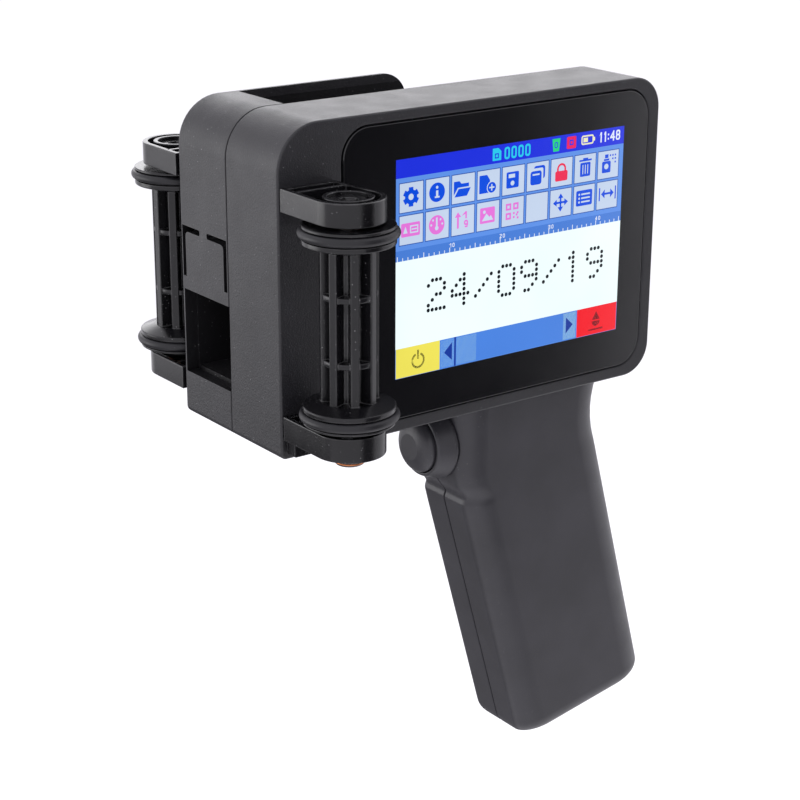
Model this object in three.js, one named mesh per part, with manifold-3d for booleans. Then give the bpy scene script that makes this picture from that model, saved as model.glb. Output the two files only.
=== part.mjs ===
// Hand-held date code inkjet printer: a screen housing with a cartridge bay behind it, two guide
// rollers on arms either side of the print face, and a raked pistol handle with a finger trigger.
//
// Millimetres, +Z up. The sub-parts are placed in the body frame: X runs from the print face (0)
// along the screen, Y from the joint of the two body shells towards the back, and Z up from the
// underside of the body. The whole model is then shifted so that its origin is the grip point.
import * as THREE from 'three';
import { mergeVertices } from 'three/addons/utils/BufferGeometryUtils.js';
import Module from 'manifold-3d';

const wasm = await Module();
wasm.setup();

// ---- driving dimensions ---------------------------------------------------------------------
const GAP = 0.3; // clearance between pieces that meet
const SEAM = GAP / 2; // half of it, either side of a parting plane
const WALL = 2.2; // moulded wall thickness
const ARC_STEPS = 6; // steps in each rounded corner
const ROUND_STEPS = 24; // steps round a turned piece

const BODY = { width: 114.1, height: 77.4, half: 21.5 };
const CORNER = { topLeft: 11, topRight: 8, bottomRight: 8, bottomLeft: 1.6 };
const EDGE = { front: 0.6, rear: 1.2 }; // radius round the shells' outer faces

const GLASS = { x0: 17.5, x1: 110.3, z0: 3.3, z1: 74.6, radius: 7, thick: 1.2, proud: 0.15 };
const SCREEN = { x0: 32.1, x1: 102.2, z0: 13.4, z1: 66.0 }; // 3.5-inch 4:3 active area
const DISPLAY = { left: 4.0, right: 2.7, bottom: 7.0, top: 4.3, thick: 3.2 };
const BOARD = { x0: 14, x1: 104, z0: 8, z1: 70, y0: -13, y1: -11.4 };
const PARTITION = { y0: -2.1, y1: -SEAM };
const PARTITION_SCREWS = [[8.5, 12.5], [10.5, 64], [108.3, 9.5], [108.3, 67]];

const BAY = { length: 65.5, bridge: 16, cornerRadius: 7.3, deck: 11.8, back: 19.5 };
const WINDOW = { y1: 20.1, z0: 10.8, z1: 31.6 };
const TONGUE = { z: 46.6, y0: 0.6, y1: 20.1, bridge0: 9.0, bridge1: 12.8, end: 34.8, slot: 1.1 };
const SADDLE = { x1: 112, depth: 13, low: 7, high: 22, back: 3.4 };
const SADDLE_SCREWS = [71.5, 107];
const SADDLE_SCREW_Z = 4.6;

const PORTS = {
  usb: { y: -8.1, z: 24, height: 13.2, depth: 5.8 },
  charge: { y: -9.3, z: 42, height: 9.2, depth: 3.4 },
};
const POWER = { y: -8.1, z: 56, radius: 3.4, travel: 0.8 };

const AXLE_X = 8.8; // roller axis from the print face
const AXLE_Y = { front: -36.1, rear: 36.8 };
const ROLLER = { bottom: 12.1, top: 57.6, flange: 10.5, core: 6.55, hub: 3.7, bore: 2.05 };
const FLANGE = { height: 4.2, grooveLow: 0.6, grooveHigh: 3.1, grooveRadius: 9.0, cone: 1.2 };
const ORING = { centre: 10.3, section: 1.05 };
const CAGE = {
  ribs: 8, rib: 2.0, phase: { front: 21.5, rear: 0 }, tiers: [0.32, 0.65], ring: 1.3, ringRadius: 6.2,
};
const SHAFT = { radius: 2.0, top: 61.3 };
const ARM = { radius: 8.3, wall: 1.3, plate: 1.6, boss: 5.7, hub: 4.4, bore: 3.5, root: 6.4, roof: 2.2 };
const UPPER_ARM = { z0: 58.3, z1: 63.7 };
const LOWER_ARM = { z0: 5.0, z1: 10.7 };
const BUSH = { outer: 3.2, inner: 2.08, flange: 3.9, flangeThick: 0.8 };
const MAGNET = { inner: 5.0, outer: 8.0, thick: 2.0 };
const REAR_NECK = 1.5; // the rear arms stand off the back face on a short neck
const FOOT = { thick: 3.3, z0: 1.6 }; // pad that carries the front lower arm

const TRIGGER = { z: -14.6, tip: 52.5, base: 55.3, radius: 7.1, land: 2.95, back: 60, stem: 2.0 };
const STEM_END = 71;
const TRIGGER_TRAVEL = 2.5;
const COLLAR = { x0: 55.6, front: 8.1, seat: 61.2, back: 9.8, x1: 71.5, floor: 67, floorThick: 1.6 };
const SPRING = { mean: 4.6, wire: 0.35, turns: 4 };

const RAKE = THREE.MathUtils.degToRad(15.45); // handle axis from the vertical
const FRONT_LINE = { x: 54.05, z: 6.07 }; // where the line of the handle's front edge starts
const GRIP = { width: 45.9, half: 12, flat: 7.2, shoulder: 8.1, backRound: 9.4, backFlat: 5 };
const HANDLE_SCREWS = [[40, 28.5], [10, 109], [35, 112]]; // [across, along] the handle
const GRIP_BOLTS = [[80, 6.6], [103, 6.6]];
const CELL = { radius: 9.2, length: 65, across: [12.9, 31.7], along: 39.5 };
const GRIP_END = { front: 114.9, rear: 119.1, round: 3.9 }; // the foot is less raked than the grip
const GRIP_POINT = { across: 23, along: 60 }; // middle of the palm

const COLOURS = {
  shell: { color: 0x1b1b1d, roughness: 0.62, metalness: 0 },
  grip: { color: 0x202023, roughness: 0.5, metalness: 0 },
  roller: { color: 0x161617, roughness: 0.42, metalness: 0 },
  rubber: { color: 0x0d0d0e, roughness: 0.75, metalness: 0 },
  glass: { color: 0x08080a, roughness: 0.08, metalness: 0 },
  screen: { color: 0xe8f2fb, roughness: 0.3, metalness: 0 },
  board: { color: 0x1d5a34, roughness: 0.5, metalness: 0 },
  steel: { color: 0xb9bbbe, roughness: 0.3, metalness: 1 },
  bronze: { color: 0xa8623a, roughness: 0.35, metalness: 1 },
  cell: { color: 0x2c6fb5, roughness: 0.4, metalness: 0 },
};

// ---- solids: three.js geometry in, joined and cut by manifold -------------------------------
function manifoldOf(positions, triangles) {
  return new wasm.Manifold(new wasm.Mesh({
    numProp: 3,
    vertProperties: new Float32Array(positions),
    triVerts: new Uint32Array(triangles),
  }));
}

// Closed geometry to a solid, with its faces turned outwards whichever way it was wound.
function toSolid(geometry) {
  const bare = geometry.clone();
  bare.deleteAttribute('normal');
  bare.deleteAttribute('uv');
  const merged = mergeVertices(bare, 1e-4);
  const positions = merged.attributes.position.array;
  const triangles = Array.from(merged.index.array);
  const solid = manifoldOf(positions, triangles);
  return solid.volume() < 0 ? manifoldOf(positions, triangles.reverse()) : solid;
}

function toGeometry(solid) {
  const { vertProperties, triVerts } = solid.getMesh();
  const geometry = new THREE.BufferGeometry();
  geometry.setAttribute('position', new THREE.BufferAttribute(new Float32Array(vertProperties), 3));
  geometry.setIndex(new THREE.BufferAttribute(new Uint32Array(triVerts), 1));
  geometry.computeVertexNormals();
  return geometry;
}

const join = (...solids) => solids.reduce((whole, piece) => whole.add(piece));
const cut = (solid, ...tools) => tools.reduce((rest, tool) => rest.subtract(tool), solid);

function block(x0, x1, y0, y1, z0, z1) {
  const geometry = new THREE.BoxGeometry(x1 - x0, y1 - y0, z1 - z0);
  geometry.translate((x0 + x1) / 2, (y0 + y1) / 2, (z0 + z1) / 2);
  return toSolid(geometry);
}

function extruded(shape, depth) {
  return new THREE.ExtrudeGeometry(shape, { depth, bevelEnabled: false, curveSegments: ARC_STEPS });
}

// Slab of an (x, z) outline between two depths y0 < y1.
function slab(shape, y0, y1) {
  return toSolid(extruded(shape, y1 - y0).rotateX(Math.PI / 2).translate(0, y1, 0));
}

// Upright prism of an (x, y) outline between two heights z0 < z1.
function prism(shape, z0, z1) {
  return toSolid(extruded(shape, z1 - z0).translate(0, 0, z0));
}

// Beam of a (y, z) outline between x0 < x1.
function beam(shape, x0, x1) {
  return toSolid(extruded(shape, x1 - x0).rotateX(Math.PI / 2).rotateZ(Math.PI / 2).translate(x0, 0, 0));
}

function polygon(points) {
  return new THREE.Shape(points.map(([x, y]) => new THREE.Vector2(x, y)));
}

// Solid of revolution about Z; the profile is a list of [radius, height] going upwards.
function turned(profile, steps = ROUND_STEPS) {
  const points = profile.map(([radius, height]) => new THREE.Vector2(radius, height));
  return toSolid(new THREE.LatheGeometry(points, steps).rotateX(Math.PI / 2));
}

const disc = (radius, z0, z1, steps) => turned([[0, z0], [radius, z0], [radius, z1], [0, z1]], steps);

const tube = (inner, outer, z0, z1, steps) =>
  turned([[inner, z0], [outer, z0], [outer, z1], [inner, z1], [inner, z0]], steps);

const alongX = (solid) => solid.rotate([0, 90, 0]);
const alongY = (solid) => solid.rotate([-90, 0, 0]);

// Closed skin through rings of points, with flat ends.
function loft(rings) {
  const count = rings[0].length;
  const positions = rings.flat().flatMap((p) => [p.x, p.y, p.z]);
  const index = [];
  for (let start = 0; start < (rings.length - 1) * count; start += count) {
    for (let i = 0; i < count; i += 1) {
      const a = start + i;
      const b = start + ((i + 1) % count);
      index.push(a, b, b + count, a, b + count, a + count);
    }
  }
  const last = (rings.length - 1) * count;
  for (let i = 1; i < count - 1; i += 1) {
    index.push(0, i + 1, i);
    index.push(last, last + i, last + i + 1);
  }
  const geometry = new THREE.BufferGeometry();
  geometry.setAttribute('position', new THREE.Float32BufferAttribute(positions, 3));
  geometry.setIndex(index);
  return toSolid(geometry);
}

function part(name, solid, finish, position = [0, 0, 0]) {
  const mesh = new THREE.Mesh(toGeometry(solid), new THREE.MeshStandardMaterial(COLOURS[finish]));
  mesh.name = name;
  mesh.position.set(...position);
  return mesh;
}

function group(parts, position = [0, 0, 0]) {
  const assembly = new THREE.Group();
  assembly.add(...parts);
  assembly.position.set(...position);
  return assembly;
}

// Cross-head screw along Z: countersunk head with its flat at z = 0, shank downwards.
function countersunkScrew(length, head = 2.4, shank = 1.15) {
  const body = turned([[0, -length], [shank, -length], [shank, -1.5], [head, -0.3], [head, 0], [0, 0]], 10);
  return cut(body, block(-1.5, 1.5, -0.3, 0.3, -0.7, 1), block(-0.3, 0.3, -1.5, 1.5, -0.7, 1));
}

// ---- outlines -------------------------------------------------------------------------------
function roundedOutline(x0, x1, z0, z1, { topLeft, topRight, bottomRight, bottomLeft }) {
  const shape = new THREE.Shape();
  shape.absarc(x1 - topRight, z1 - topRight, topRight, 0, Math.PI / 2, false);
  shape.absarc(x0 + topLeft, z1 - topLeft, topLeft, Math.PI / 2, Math.PI, false);
  shape.absarc(x0 + bottomLeft, z0 + bottomLeft, bottomLeft, Math.PI, 1.5 * Math.PI, false);
  shape.absarc(x1 - bottomRight, z0 + bottomRight, bottomRight, 1.5 * Math.PI, 2 * Math.PI, false);
  return shape;
}

const equalCorners = (r) => ({ topLeft: r, topRight: r, bottomRight: r, bottomLeft: r });

// Outline of a box from the body's bottom left corner, drawn in by a margin all round.
function insetOutline(width, height, corners, margin) {
  const drawnIn = {};
  for (const [name, radius] of Object.entries(corners)) drawnIn[name] = Math.max(radius - margin, 0.4);
  return roundedOutline(margin, width - margin, margin, height - margin, drawnIn);
}

const bodyOutline = (margin) => insetOutline(BODY.width, BODY.height, CORNER, margin);

const BAY_CORNERS = { ...CORNER, topRight: BAY.cornerRadius, bottomRight: 0.8 };
const bayOutline = (margin) => insetOutline(BAY.length, BODY.height, BAY_CORNERS, margin);

// Shell blank whose outer edge is rounded: from its face at y = face to its joint at y = joint.
function roundedBlank(outlineAt, face, joint, radius) {
  const inward = Math.sign(joint - face);
  const ring = (margin, y) =>
    outlineAt(margin).extractPoints(ARC_STEPS).shape.map((p) => new THREE.Vector3(p.x, y, p.y));
  const rings = [0, 30, 60, 90].map((degrees) => {
    const angle = THREE.MathUtils.degToRad(degrees);
    return ring(radius * (1 - Math.sin(angle)), face + inward * radius * (1 - Math.cos(angle)));
  });
  return loft([...rings, ring(0, joint)]);
}

// ---- screen housing -------------------------------------------------------------------------
const FRONT = -BODY.half;

// Boss behind the front wall for a partition screw, open towards the back.
function screwPost([x, z]) {
  const post = tube(1.5, 3.0, FRONT + WALL - 0.2, PARTITION.y0 - GAP, 14);
  return alongY(post).translate([x, 0, z]);
}

// Boss on the bottom wall for a saddle screw, behind the display.
function saddlePost(x) {
  const y0 = FRONT + WALL + DISPLAY.thick + 1;
  const post = alongY(disc(2.5, y0, PARTITION.y0 - GAP, 14)).translate([x, 0, SADDLE_SCREW_Z]);
  const web = block(x - 1.5, x + 1.5, y0, PARTITION.y0 - GAP, 1, SADDLE_SCREW_Z);
  const bore = alongY(disc(1.5, y0 + 2, 0, 12)).translate([x, 0, SADDLE_SCREW_Z]);
  return cut(join(post, web), bore);
}

function portOpening({ y, z, height, depth }) {
  const w = depth / 2 + GAP;
  const h = height / 2 + GAP;
  return block(BODY.width - 4, BODY.width + 1, y - w, y + w, z - h, z + h);
}

function frontShell() {
  const { x0, x1, z0, z1, radius, thick, proud } = GLASS;
  const seat = roundedOutline(x0 - GAP, x1 + GAP, z0 - GAP, z1 + GAP, equalCorners(radius + GAP));
  const opening = roundedOutline(
    SCREEN.x0 - DISPLAY.left - 0.5, SCREEN.x1 + DISPLAY.right + 0.5,
    SCREEN.z0 - DISPLAY.bottom - 0.5, SCREEN.z1 + DISPLAY.top + 0.5, equalCorners(0.6),
  );
  const buttonHole = alongX(disc(POWER.radius + GAP, BODY.width - 4, BODY.width + 1, 20));
  const hollow = cut(
    roundedBlank(bodyOutline, FRONT, -SEAM, EDGE.front),
    slab(bodyOutline(WALL), FRONT + WALL, 1),
    slab(seat, FRONT - 1, FRONT + thick - proud + GAP),
    slab(opening, FRONT - 1, FRONT + WALL + 1),
    portOpening(PORTS.usb),
    portOpening(PORTS.charge),
    buttonHole.translate([0, POWER.y, POWER.z]),
  );
  return join(hollow, ...PARTITION_SCREWS.map(screwPost), ...SADDLE_SCREWS.map(saddlePost));
}

function partition() {
  const plate = slab(bodyOutline(WALL + GAP), PARTITION.y0, PARTITION.y1);
  const countersink = alongY(turned([[0, -4], [1.5, -4], [1.5, -1.5], [2.8, -0.2], [2.8, 2], [0, 2]], 14));
  const holes = PARTITION_SCREWS.map(([x, z]) => countersink.translate([x, PARTITION.y1, z]));
  const bolts = SADDLE_SCREWS.map((x) => alongY(disc(1.6, -4, 2, 12)).translate([x, 0, SADDLE_SCREW_Z]));
  return cut(plate, ...holes, ...bolts);
}

function partitionScrews() {
  const screw = alongY(countersunkScrew(9));
  return PARTITION_SCREWS.map(([x, z], i) =>
    part(`partition_screw_${i + 1}`, screw, 'steel', [x, PARTITION.y1, z]));
}

function touchGlass() {
  const { x0, x1, z0, z1, radius, thick, proud } = GLASS;
  const outline = roundedOutline(x0, x1, z0, z1, equalCorners(radius));
  return slab(outline, FRONT - proud, FRONT - proud + thick);
}

function displayModule() {
  const y0 = FRONT + GLASS.thick - GLASS.proud + GAP;
  return block(
    SCREEN.x0 - DISPLAY.left, SCREEN.x1 + DISPLAY.right, y0, y0 + DISPLAY.thick,
    SCREEN.z0 - DISPLAY.bottom, SCREEN.z1 + DISPLAY.top,
  );
}

// Board with its processor, memory, driver chips and two flat-cable connectors soldered on.
function mainBoard() {
  const { x0, x1, y0, y1, z0, z1 } = BOARD;
  const chips = [
    [40, 54, 30, 44, 1.4], [60, 72, 32, 42, 1.2], [24, 32, 50, 58, 1.6],
    [80, 86, 54, 62, 1.2], [30, 50, 12, 16, 2.4], [60, 78, 60, 64, 2.4],
  ].map(([cx0, cx1, cz0, cz1, height]) => block(cx0, cx1, y1 - 0.2, y1 + height, cz0, cz1));
  return join(block(x0, x1, y0, y1, z0, z1), ...chips);
}

// Metal-cased socket on the edge of the board, open to the right, with its contact tongue.
function socket({ y, z, height, depth }, length) {
  const x1 = BODY.width - 0.4;
  const shellThick = 0.5;
  const outer = block(x1 - length, x1, y - depth / 2, y + depth / 2, z - height / 2, z + height / 2);
  const inner = block(
    x1 - length + 2, x1 + 1, y - depth / 2 + shellThick, y + depth / 2 - shellThick,
    z - height / 2 + shellThick, z + height / 2 - shellThick,
  );
  const reach = height / 2 - 1.4;
  const tongue = block(x1 - length + 1, x1 - 1.5, y - 0.6, y + 0.4, z - reach, z + reach);
  return join(cut(outer, inner), tongue);
}

function powerButton() {
  const { radius, y, z, travel } = POWER;
  const inside = BODY.width - WALL - 0.5;
  const cap = BODY.width + travel;
  const profile = [
    [0, inside - 1.2], [radius + 1, inside - 1.2], [radius + 1, inside], [radius, inside],
    [radius, cap - 0.4], [radius - 0.5, cap], [0, cap],
  ];
  return alongX(turned(profile, 20)).translate([0, y, z]);
}

// Tact switch on the edge of the board; the button stops against its plunger.
function powerSwitch() {
  const { y, z, travel } = POWER;
  const tip = BODY.width - WALL - 0.5 - 1.2 - travel - GAP;
  const plunger = alongX(disc(1.6, tip - 2, tip, 12)).translate([0, y, z]);
  return join(block(tip - 7, tip - 1, BOARD.y1 + GAP, y + 3, z - 3, z + 3), plunger);
}

// ---- cartridge bay --------------------------------------------------------------------------
function tongueSlots() {
  const { z, y0, y1, bridge0, bridge1, end, slot } = TONGUE;
  const through = (ya, yb, za, zb) => block(-1, WALL + 1, ya, yb, za, zb);
  return [
    through(y0, bridge0, z - slot / 2, z + slot / 2),
    through(bridge1, y1, z - slot / 2, z + slot / 2),
    through(y0, y0 + slot, end, z + slot / 2),
    through(y1 - slot, y1, end, z + slot / 2),
  ];
}

// Hollow foot of the rear shell that carries the handle, with a sloping back.
function saddle() {
  const { x1, depth, low, high } = SADDLE;
  const start = BAY.length - 4;
  const outer = beam(polygon([[SEAM, 0], [depth, 0], [depth, low], [3, high], [SEAM, high]]), start, x1);
  const wall = depth - SADDLE.back;
  const inside = [[-1, WALL], [wall, WALL], [wall, low - 0.8], [1.6, high - WALL], [-1, high - WALL]];
  const inner = beam(polygon(inside), BAY.length + 0.5, x1 - WALL);
  return cut(outer, inner);
}

function rearShell() {
  const top = BODY.height;
  const { length, bridge, deck, back } = BAY;
  const hollow = insetOutline(length + 20, top, { ...CORNER, topRight: 1, bottomRight: 1 }, WALL);
  const bayShell = cut(
    roundedBlank(bayOutline, BODY.half, SEAM, EDGE.rear),
    slab(hollow, -1, back).subtract(block(0, length + 30, -2, back + 1, 0, deck)),
    block(bridge, length + 1, -1, back, deck + 10, top + 1),
    block(WALL, length - WALL, -1, back, WALL, deck - WALL),
    block(-1, WALL + 1, -1, WINDOW.y1, WINDOW.z0, WINDOW.z1),
    ...tongueSlots(),
  );
  const screwHoles = SADDLE_SCREWS.flatMap((x) => [
    alongY(disc(1.6, 0, SADDLE.depth + 1, 12)).translate([x, 0, SADDLE_SCREW_Z]),
    alongY(disc(2.8, SADDLE.depth - 2.2, SADDLE.depth + 1, 14)).translate([x, 0, SADDLE_SCREW_Z]),
  ]);
  const boltHoles = GRIP_BOLTS.map(([x, y]) => disc(1.7, -1, WALL + 1, 12).translate([x, y, 0]));
  return cut(join(bayShell, saddle()), ...screwHoles, ...boltHoles);
}

function saddleScrews() {
  const screw = alongY(countersunkScrew(17));
  return SADDLE_SCREWS.map((x, i) =>
    part(`saddle_screw_${i + 1}`, screw, 'steel', [x, SADDLE.depth - GAP, SADDLE_SCREW_Z]));
}

// Pogo-pin block that touches the cartridge's contact pad.
function contactBlock() {
  const pins = [];
  for (const x of [11, 15, 19]) {
    for (let row = 0; row < 6; row += 1) {
      pins.push(alongY(disc(0.6, 2.8, 4.2, 8)).translate([x, 0, 21.5 + 4.2 * row]));
    }
  }
  return join(block(8, 22, SEAM, 3.0, 18, 46), ...pins);
}

// Bowed leaf on the inside of the back that presses the cartridge onto the contacts.
function cartridgeSpring() {
  const { back } = BAY;
  const [x0, x1, bow, thick, steps] = [26, 54, 3.4, 0.6, 12];
  const line = Array.from({ length: steps + 1 }, (_, i) => {
    const t = i / steps;
    return [x0 + (x1 - x0) * t, back - GAP - thick - bow * Math.sin(Math.PI * t) ** 2];
  });
  const outline = [...line, ...line.map(([x, y]) => [x, y + thick]).reverse()];
  return prism(polygon(outline), 34, 44);
}

// ---- guide rollers --------------------------------------------------------------------------
// Arm outline about the roller axis: straight flanks from the root, round end away from the body.
// side is +1 where the body lies towards +Y and -1 where it lies towards -Y.
function armOutline(reach, side, margin) {
  const radius = ARM.radius - margin;
  const root = side * (reach - margin);
  const shape = new THREE.Shape();
  shape.moveTo(ARM.root - margin, root);
  shape.lineTo(-radius, root);
  shape.absarc(0, 0, radius, Math.PI, 0, side < 0);
  return shape;
}

// Arm with a walled hollow in its top, a ring round the bearing boss and a cross rib. The bearing
// bore runs up from the underside to boreTop.
function arm({ z0, z1 }, reach, side, boreTop) {
  const { wall, plate, boss, hub, bore, radius } = ARM;
  const hollow = prism(armOutline(reach, side, wall), z0 + plate, z1 + 1);
  const ribY = side * (reach - 4.7);
  const rib = block(-radius + 0.6, ARM.root - 0.6, ribY - 0.5, ribY + 0.5, z0 + 1, z1);
  const ring = tube(boss - 1.1, boss, z0 + 1, z1);
  const web = cut(rib, disc(boss - 0.5, z0, z1 + 1));
  const tray = cut(prism(armOutline(reach, side, 0), z0, z1), hollow);
  const body = join(tray, web, ring, disc(hub, z0 + 1, z1 - 0.8));
  return cut(body, disc(bore, z0 - 1, boreTop));
}

// Short neck between a rear arm and the back face of the body.
function neck({ z0, z1 }, reach, side) {
  const y = [side * (reach - 1), side * (reach + REAR_NECK)];
  return block(-5.3, ARM.root - 1.2, Math.min(...y), Math.max(...y), z0 + 0.8, z1 - 0.8);
}

// Pad under the root of the front lower arm.
function foot(reach) {
  return block(-ARM.radius + 0.8, ARM.root, reach - FOOT.thick, reach, FOOT.z0, LOWER_ARM.z0 + 1);
}

function flange() {
  const { height, grooveLow, grooveHigh, grooveRadius, cone } = FLANGE;
  const { flange: outer, core, bore } = ROLLER;
  return turned([
    [bore, 0], [outer, 0], [outer, grooveLow], [grooveRadius, grooveLow], [grooveRadius, grooveHigh],
    [outer, grooveHigh], [outer, height], [core + 0.4, height + cone], [bore, height + cone], [bore, 0],
  ]);
}

// Moulded roller: two grooved flanges on a cage of radial ribs round a hub.
function roller(phase, hasMagnet) {
  const length = ROLLER.top - ROLLER.bottom;
  const { core, hub, bore } = ROLLER;
  const lower = flange();
  const upper = flange().rotate([180, 0, 0]).translate([0, 0, length]);
  const rings = CAGE.tiers.map((t) => {
    const z = length * t;
    return tube(hub - 0.4, CAGE.ringRadius, z - CAGE.ring / 2, z + CAGE.ring / 2);
  });
  const rib = block(hub - 0.5, core, -CAGE.rib / 2, CAGE.rib / 2, FLANGE.height, length - FLANGE.height);
  const pitch = 360 / CAGE.ribs;
  const ribs = Array.from({ length: CAGE.ribs }, (_, i) => rib.rotate([0, 0, phase + pitch * i]));
  const whole = join(lower, upper, tube(bore, hub, 1, length - 1), ...rings, ...ribs);
  if (!hasMagnet) return whole;
  return cut(whole, tube(MAGNET.inner - GAP, MAGNET.outer + GAP, -1, MAGNET.thick + 2 * GAP));
}

function oring() {
  const { centre, section } = ORING;
  const profile = Array.from({ length: 9 }, (_, i) => {
    const angle = (i % 8) * (Math.PI / 4);
    return [centre + section * Math.cos(angle), section * Math.sin(angle)];
  });
  return turned(profile);
}

function bush(z0, z1, flangeZ) {
  const barrel = tube(BUSH.inner, BUSH.outer, z0, z1, 20);
  if (flangeZ === undefined) return barrel;
  return join(barrel, tube(BUSH.inner, BUSH.flange, flangeZ, flangeZ + BUSH.flangeThick, 20));
}

function rollerUnit(end) {
  const isFront = end === 'front';
  const side = isFront ? 1 : -1;
  const faceGap = isFront ? 0 : REAR_NECK;
  const reach = Math.abs(AXLE_Y[end]) - BODY.half - GAP - faceGap;
  const ringZ = ROLLER.bottom + (FLANGE.grooveLow + FLANGE.grooveHigh) / 2;
  const mirror = (z) => ROLLER.top + ROLLER.bottom - z;
  const boreTop = UPPER_ARM.z1 - ARM.roof;
  const upperArm = arm(UPPER_ARM, reach, side, boreTop);
  const lowerArm = arm(LOWER_ARM, reach, side, LOWER_ARM.z1 + 1);
  const shaftBottom = isFront ? LOWER_ARM.z0 - 1.1 : LOWER_ARM.z0 + 0.4;
  const bushFlange = LOWER_ARM.z0 - GAP - BUSH.flangeThick;
  const lowerBush = isFront
    ? bush(bushFlange, LOWER_ARM.z1 - 0.6, bushFlange)
    : bush(LOWER_ARM.z0 + 0.4, LOWER_ARM.z1 + GAP + 0.2, LOWER_ARM.z1 + GAP);
  const pieces = [
    part(`${end}_upper_arm`, isFront ? upperArm : join(upperArm, neck(UPPER_ARM, reach, side)), 'roller'),
    part(`${end}_lower_arm`, join(lowerArm, isFront ? foot(reach) : neck(LOWER_ARM, reach, side)), 'roller'),
    part(`${end}_roller`, roller(CAGE.phase[end], isFront), 'roller', [0, 0, ROLLER.bottom]),
    part(`${end}_lower_oring`, oring(), 'rubber', [0, 0, ringZ]),
    part(`${end}_upper_oring`, oring(), 'rubber', [0, 0, mirror(ringZ)]),
    part(`${end}_shaft`, disc(SHAFT.radius, shaftBottom, SHAFT.top, 20), 'steel'),
    part(`${end}_upper_bush`, bush(UPPER_ARM.z0, boreTop - GAP), 'bronze'),
    part(`${end}_lower_bush`, lowerBush, 'bronze'),
  ];
  if (isFront) pieces.push(...encoder(shaftBottom, reach));
  return group(pieces, [AXLE_X, AXLE_Y[end], 0]);
}

// Travel encoder of the front roller: ring magnet under the roller, sensor in the arm, shaft cap.
function encoder(shaftBottom, reach) {
  const capTop = shaftBottom - GAP;
  const cap = turned([[0, 2.2], [2.9, 2.2], [3.6, 2.8], [3.6, capTop], [0, capTop]], 20);
  const magnet = tube(MAGNET.inner, MAGNET.outer, ROLLER.bottom + GAP, ROLLER.bottom + GAP + MAGNET.thick);
  const board = block(-4, 4, reach - 8.6, reach - 5.6, LOWER_ARM.z0 + ARM.plate + GAP, LOWER_ARM.z0 + 3.2);
  const chip = block(-2, 2, reach - 8, reach - 6.2, LOWER_ARM.z0 + 3, LOWER_ARM.z0 + 4.4);
  return [
    part('front_shaft_cap', cap, 'roller'),
    part('encoder_magnet', magnet, 'steel'),
    part('encoder_sensor', join(board, chip), 'board'),
  ];
}

// ---- handle ---------------------------------------------------------------------------------
const ACROSS = new THREE.Vector3(Math.cos(RAKE), 0, Math.sin(RAKE));
const ALONG = new THREE.Vector3(Math.sin(RAKE), 0, -Math.cos(RAKE));

// Point in the handle's middle plane: across from the front edge, along it from the top.
function onHandle(across, along) {
  return new THREE.Vector3(FRONT_LINE.x, 0, FRONT_LINE.z)
    .addScaledVector(ACROSS, across)
    .addScaledVector(ALONG, along);
}

// Front and rear points of the handle's sections from the top down: an upright neck that flares
// into the body, a ledge under the trigger, then the straight raked grip.
function handleStations(topZ, bottomInset) {
  const point = (x, z) => new THREE.Vector3(x, 0, z);
  const rearAt = (along) => onHandle(GRIP.width, along);
  const short = GRIP_END.round + bottomInset;
  return [
    [point(61, topZ), point(110.5, topZ)],
    [point(61, -8), point(108.8, -5)],
    [point(61, -15), point(107.7, -9.5)],
    [point(61, -22), point(107.6, -14)],
    [point(61.8, -25.5), point(107.9, -16.4)],
    [point(64.6, -29.2), point(108.4, -18.8)],
    [point(63.8, -30.8), point(109.2, -20.9)],
    [onHandle(0, 46), rearAt(46)],
    [onHandle(0, GRIP_END.front - short), rearAt(GRIP_END.rear - short)],
  ];
}

// Closed section between a front and a rear point: narrow flat front, wide shoulders, round back.
function handleSection([front, rear], inset) {
  const width = rear.distanceTo(front) - 2 * inset;
  const direction = rear.clone().sub(front).normalize();
  const start = front.clone().addScaledVector(direction, inset);
  const half = GRIP.half - inset;
  const flat = Math.max(GRIP.flat - inset, 0.5);
  const backFlat = Math.max(GRIP.backFlat - inset, 0.5);
  const quarter = [];
  const back = [];
  for (let i = 0; i <= ARC_STEPS; i += 1) {
    const angle = (i / ARC_STEPS) * (Math.PI / 2);
    const rise = Math.sin(angle);
    const run = 1 - Math.cos(angle);
    quarter.push([GRIP.shoulder * run, flat + (half - flat) * rise]);
    back.unshift([width - GRIP.backRound * run, backFlat + (half - backFlat) * rise]);
  }
  const side = [...quarter, ...back];
  const ring = [...side, ...side.map(([across, y]) => [across, -y]).reverse()];
  return ring.map(([across, y]) => {
    const p = start.clone().addScaledVector(direction, across);
    return p.setY(y);
  });
}

function handleBlank() {
  const stations = handleStations(-GAP, 0);
  const rings = stations.map((station) => handleSection(station, 0));
  const [front, rear] = stations[stations.length - 1];
  const down = ALONG.clone();
  for (const [inset, depth] of [[0.5, 1.7], [1.4, 3.0], [3.0, GRIP_END.round]]) {
    const moved = [front.clone().addScaledVector(down, depth), rear.clone().addScaledVector(down, depth)];
    rings.push(handleSection(moved, inset));
  }
  return loft(rings);
}

function handleCavity() {
  const stations = handleStations(1, 3.5);
  return loft(stations.map((station) => handleSection(station, WALL)));
}

const HALF_SPACE = {
  front: block(0, 200, -50, -SEAM, -200, 50),
  rear: block(0, 200, SEAM, 50, -200, 50),
};

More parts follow.
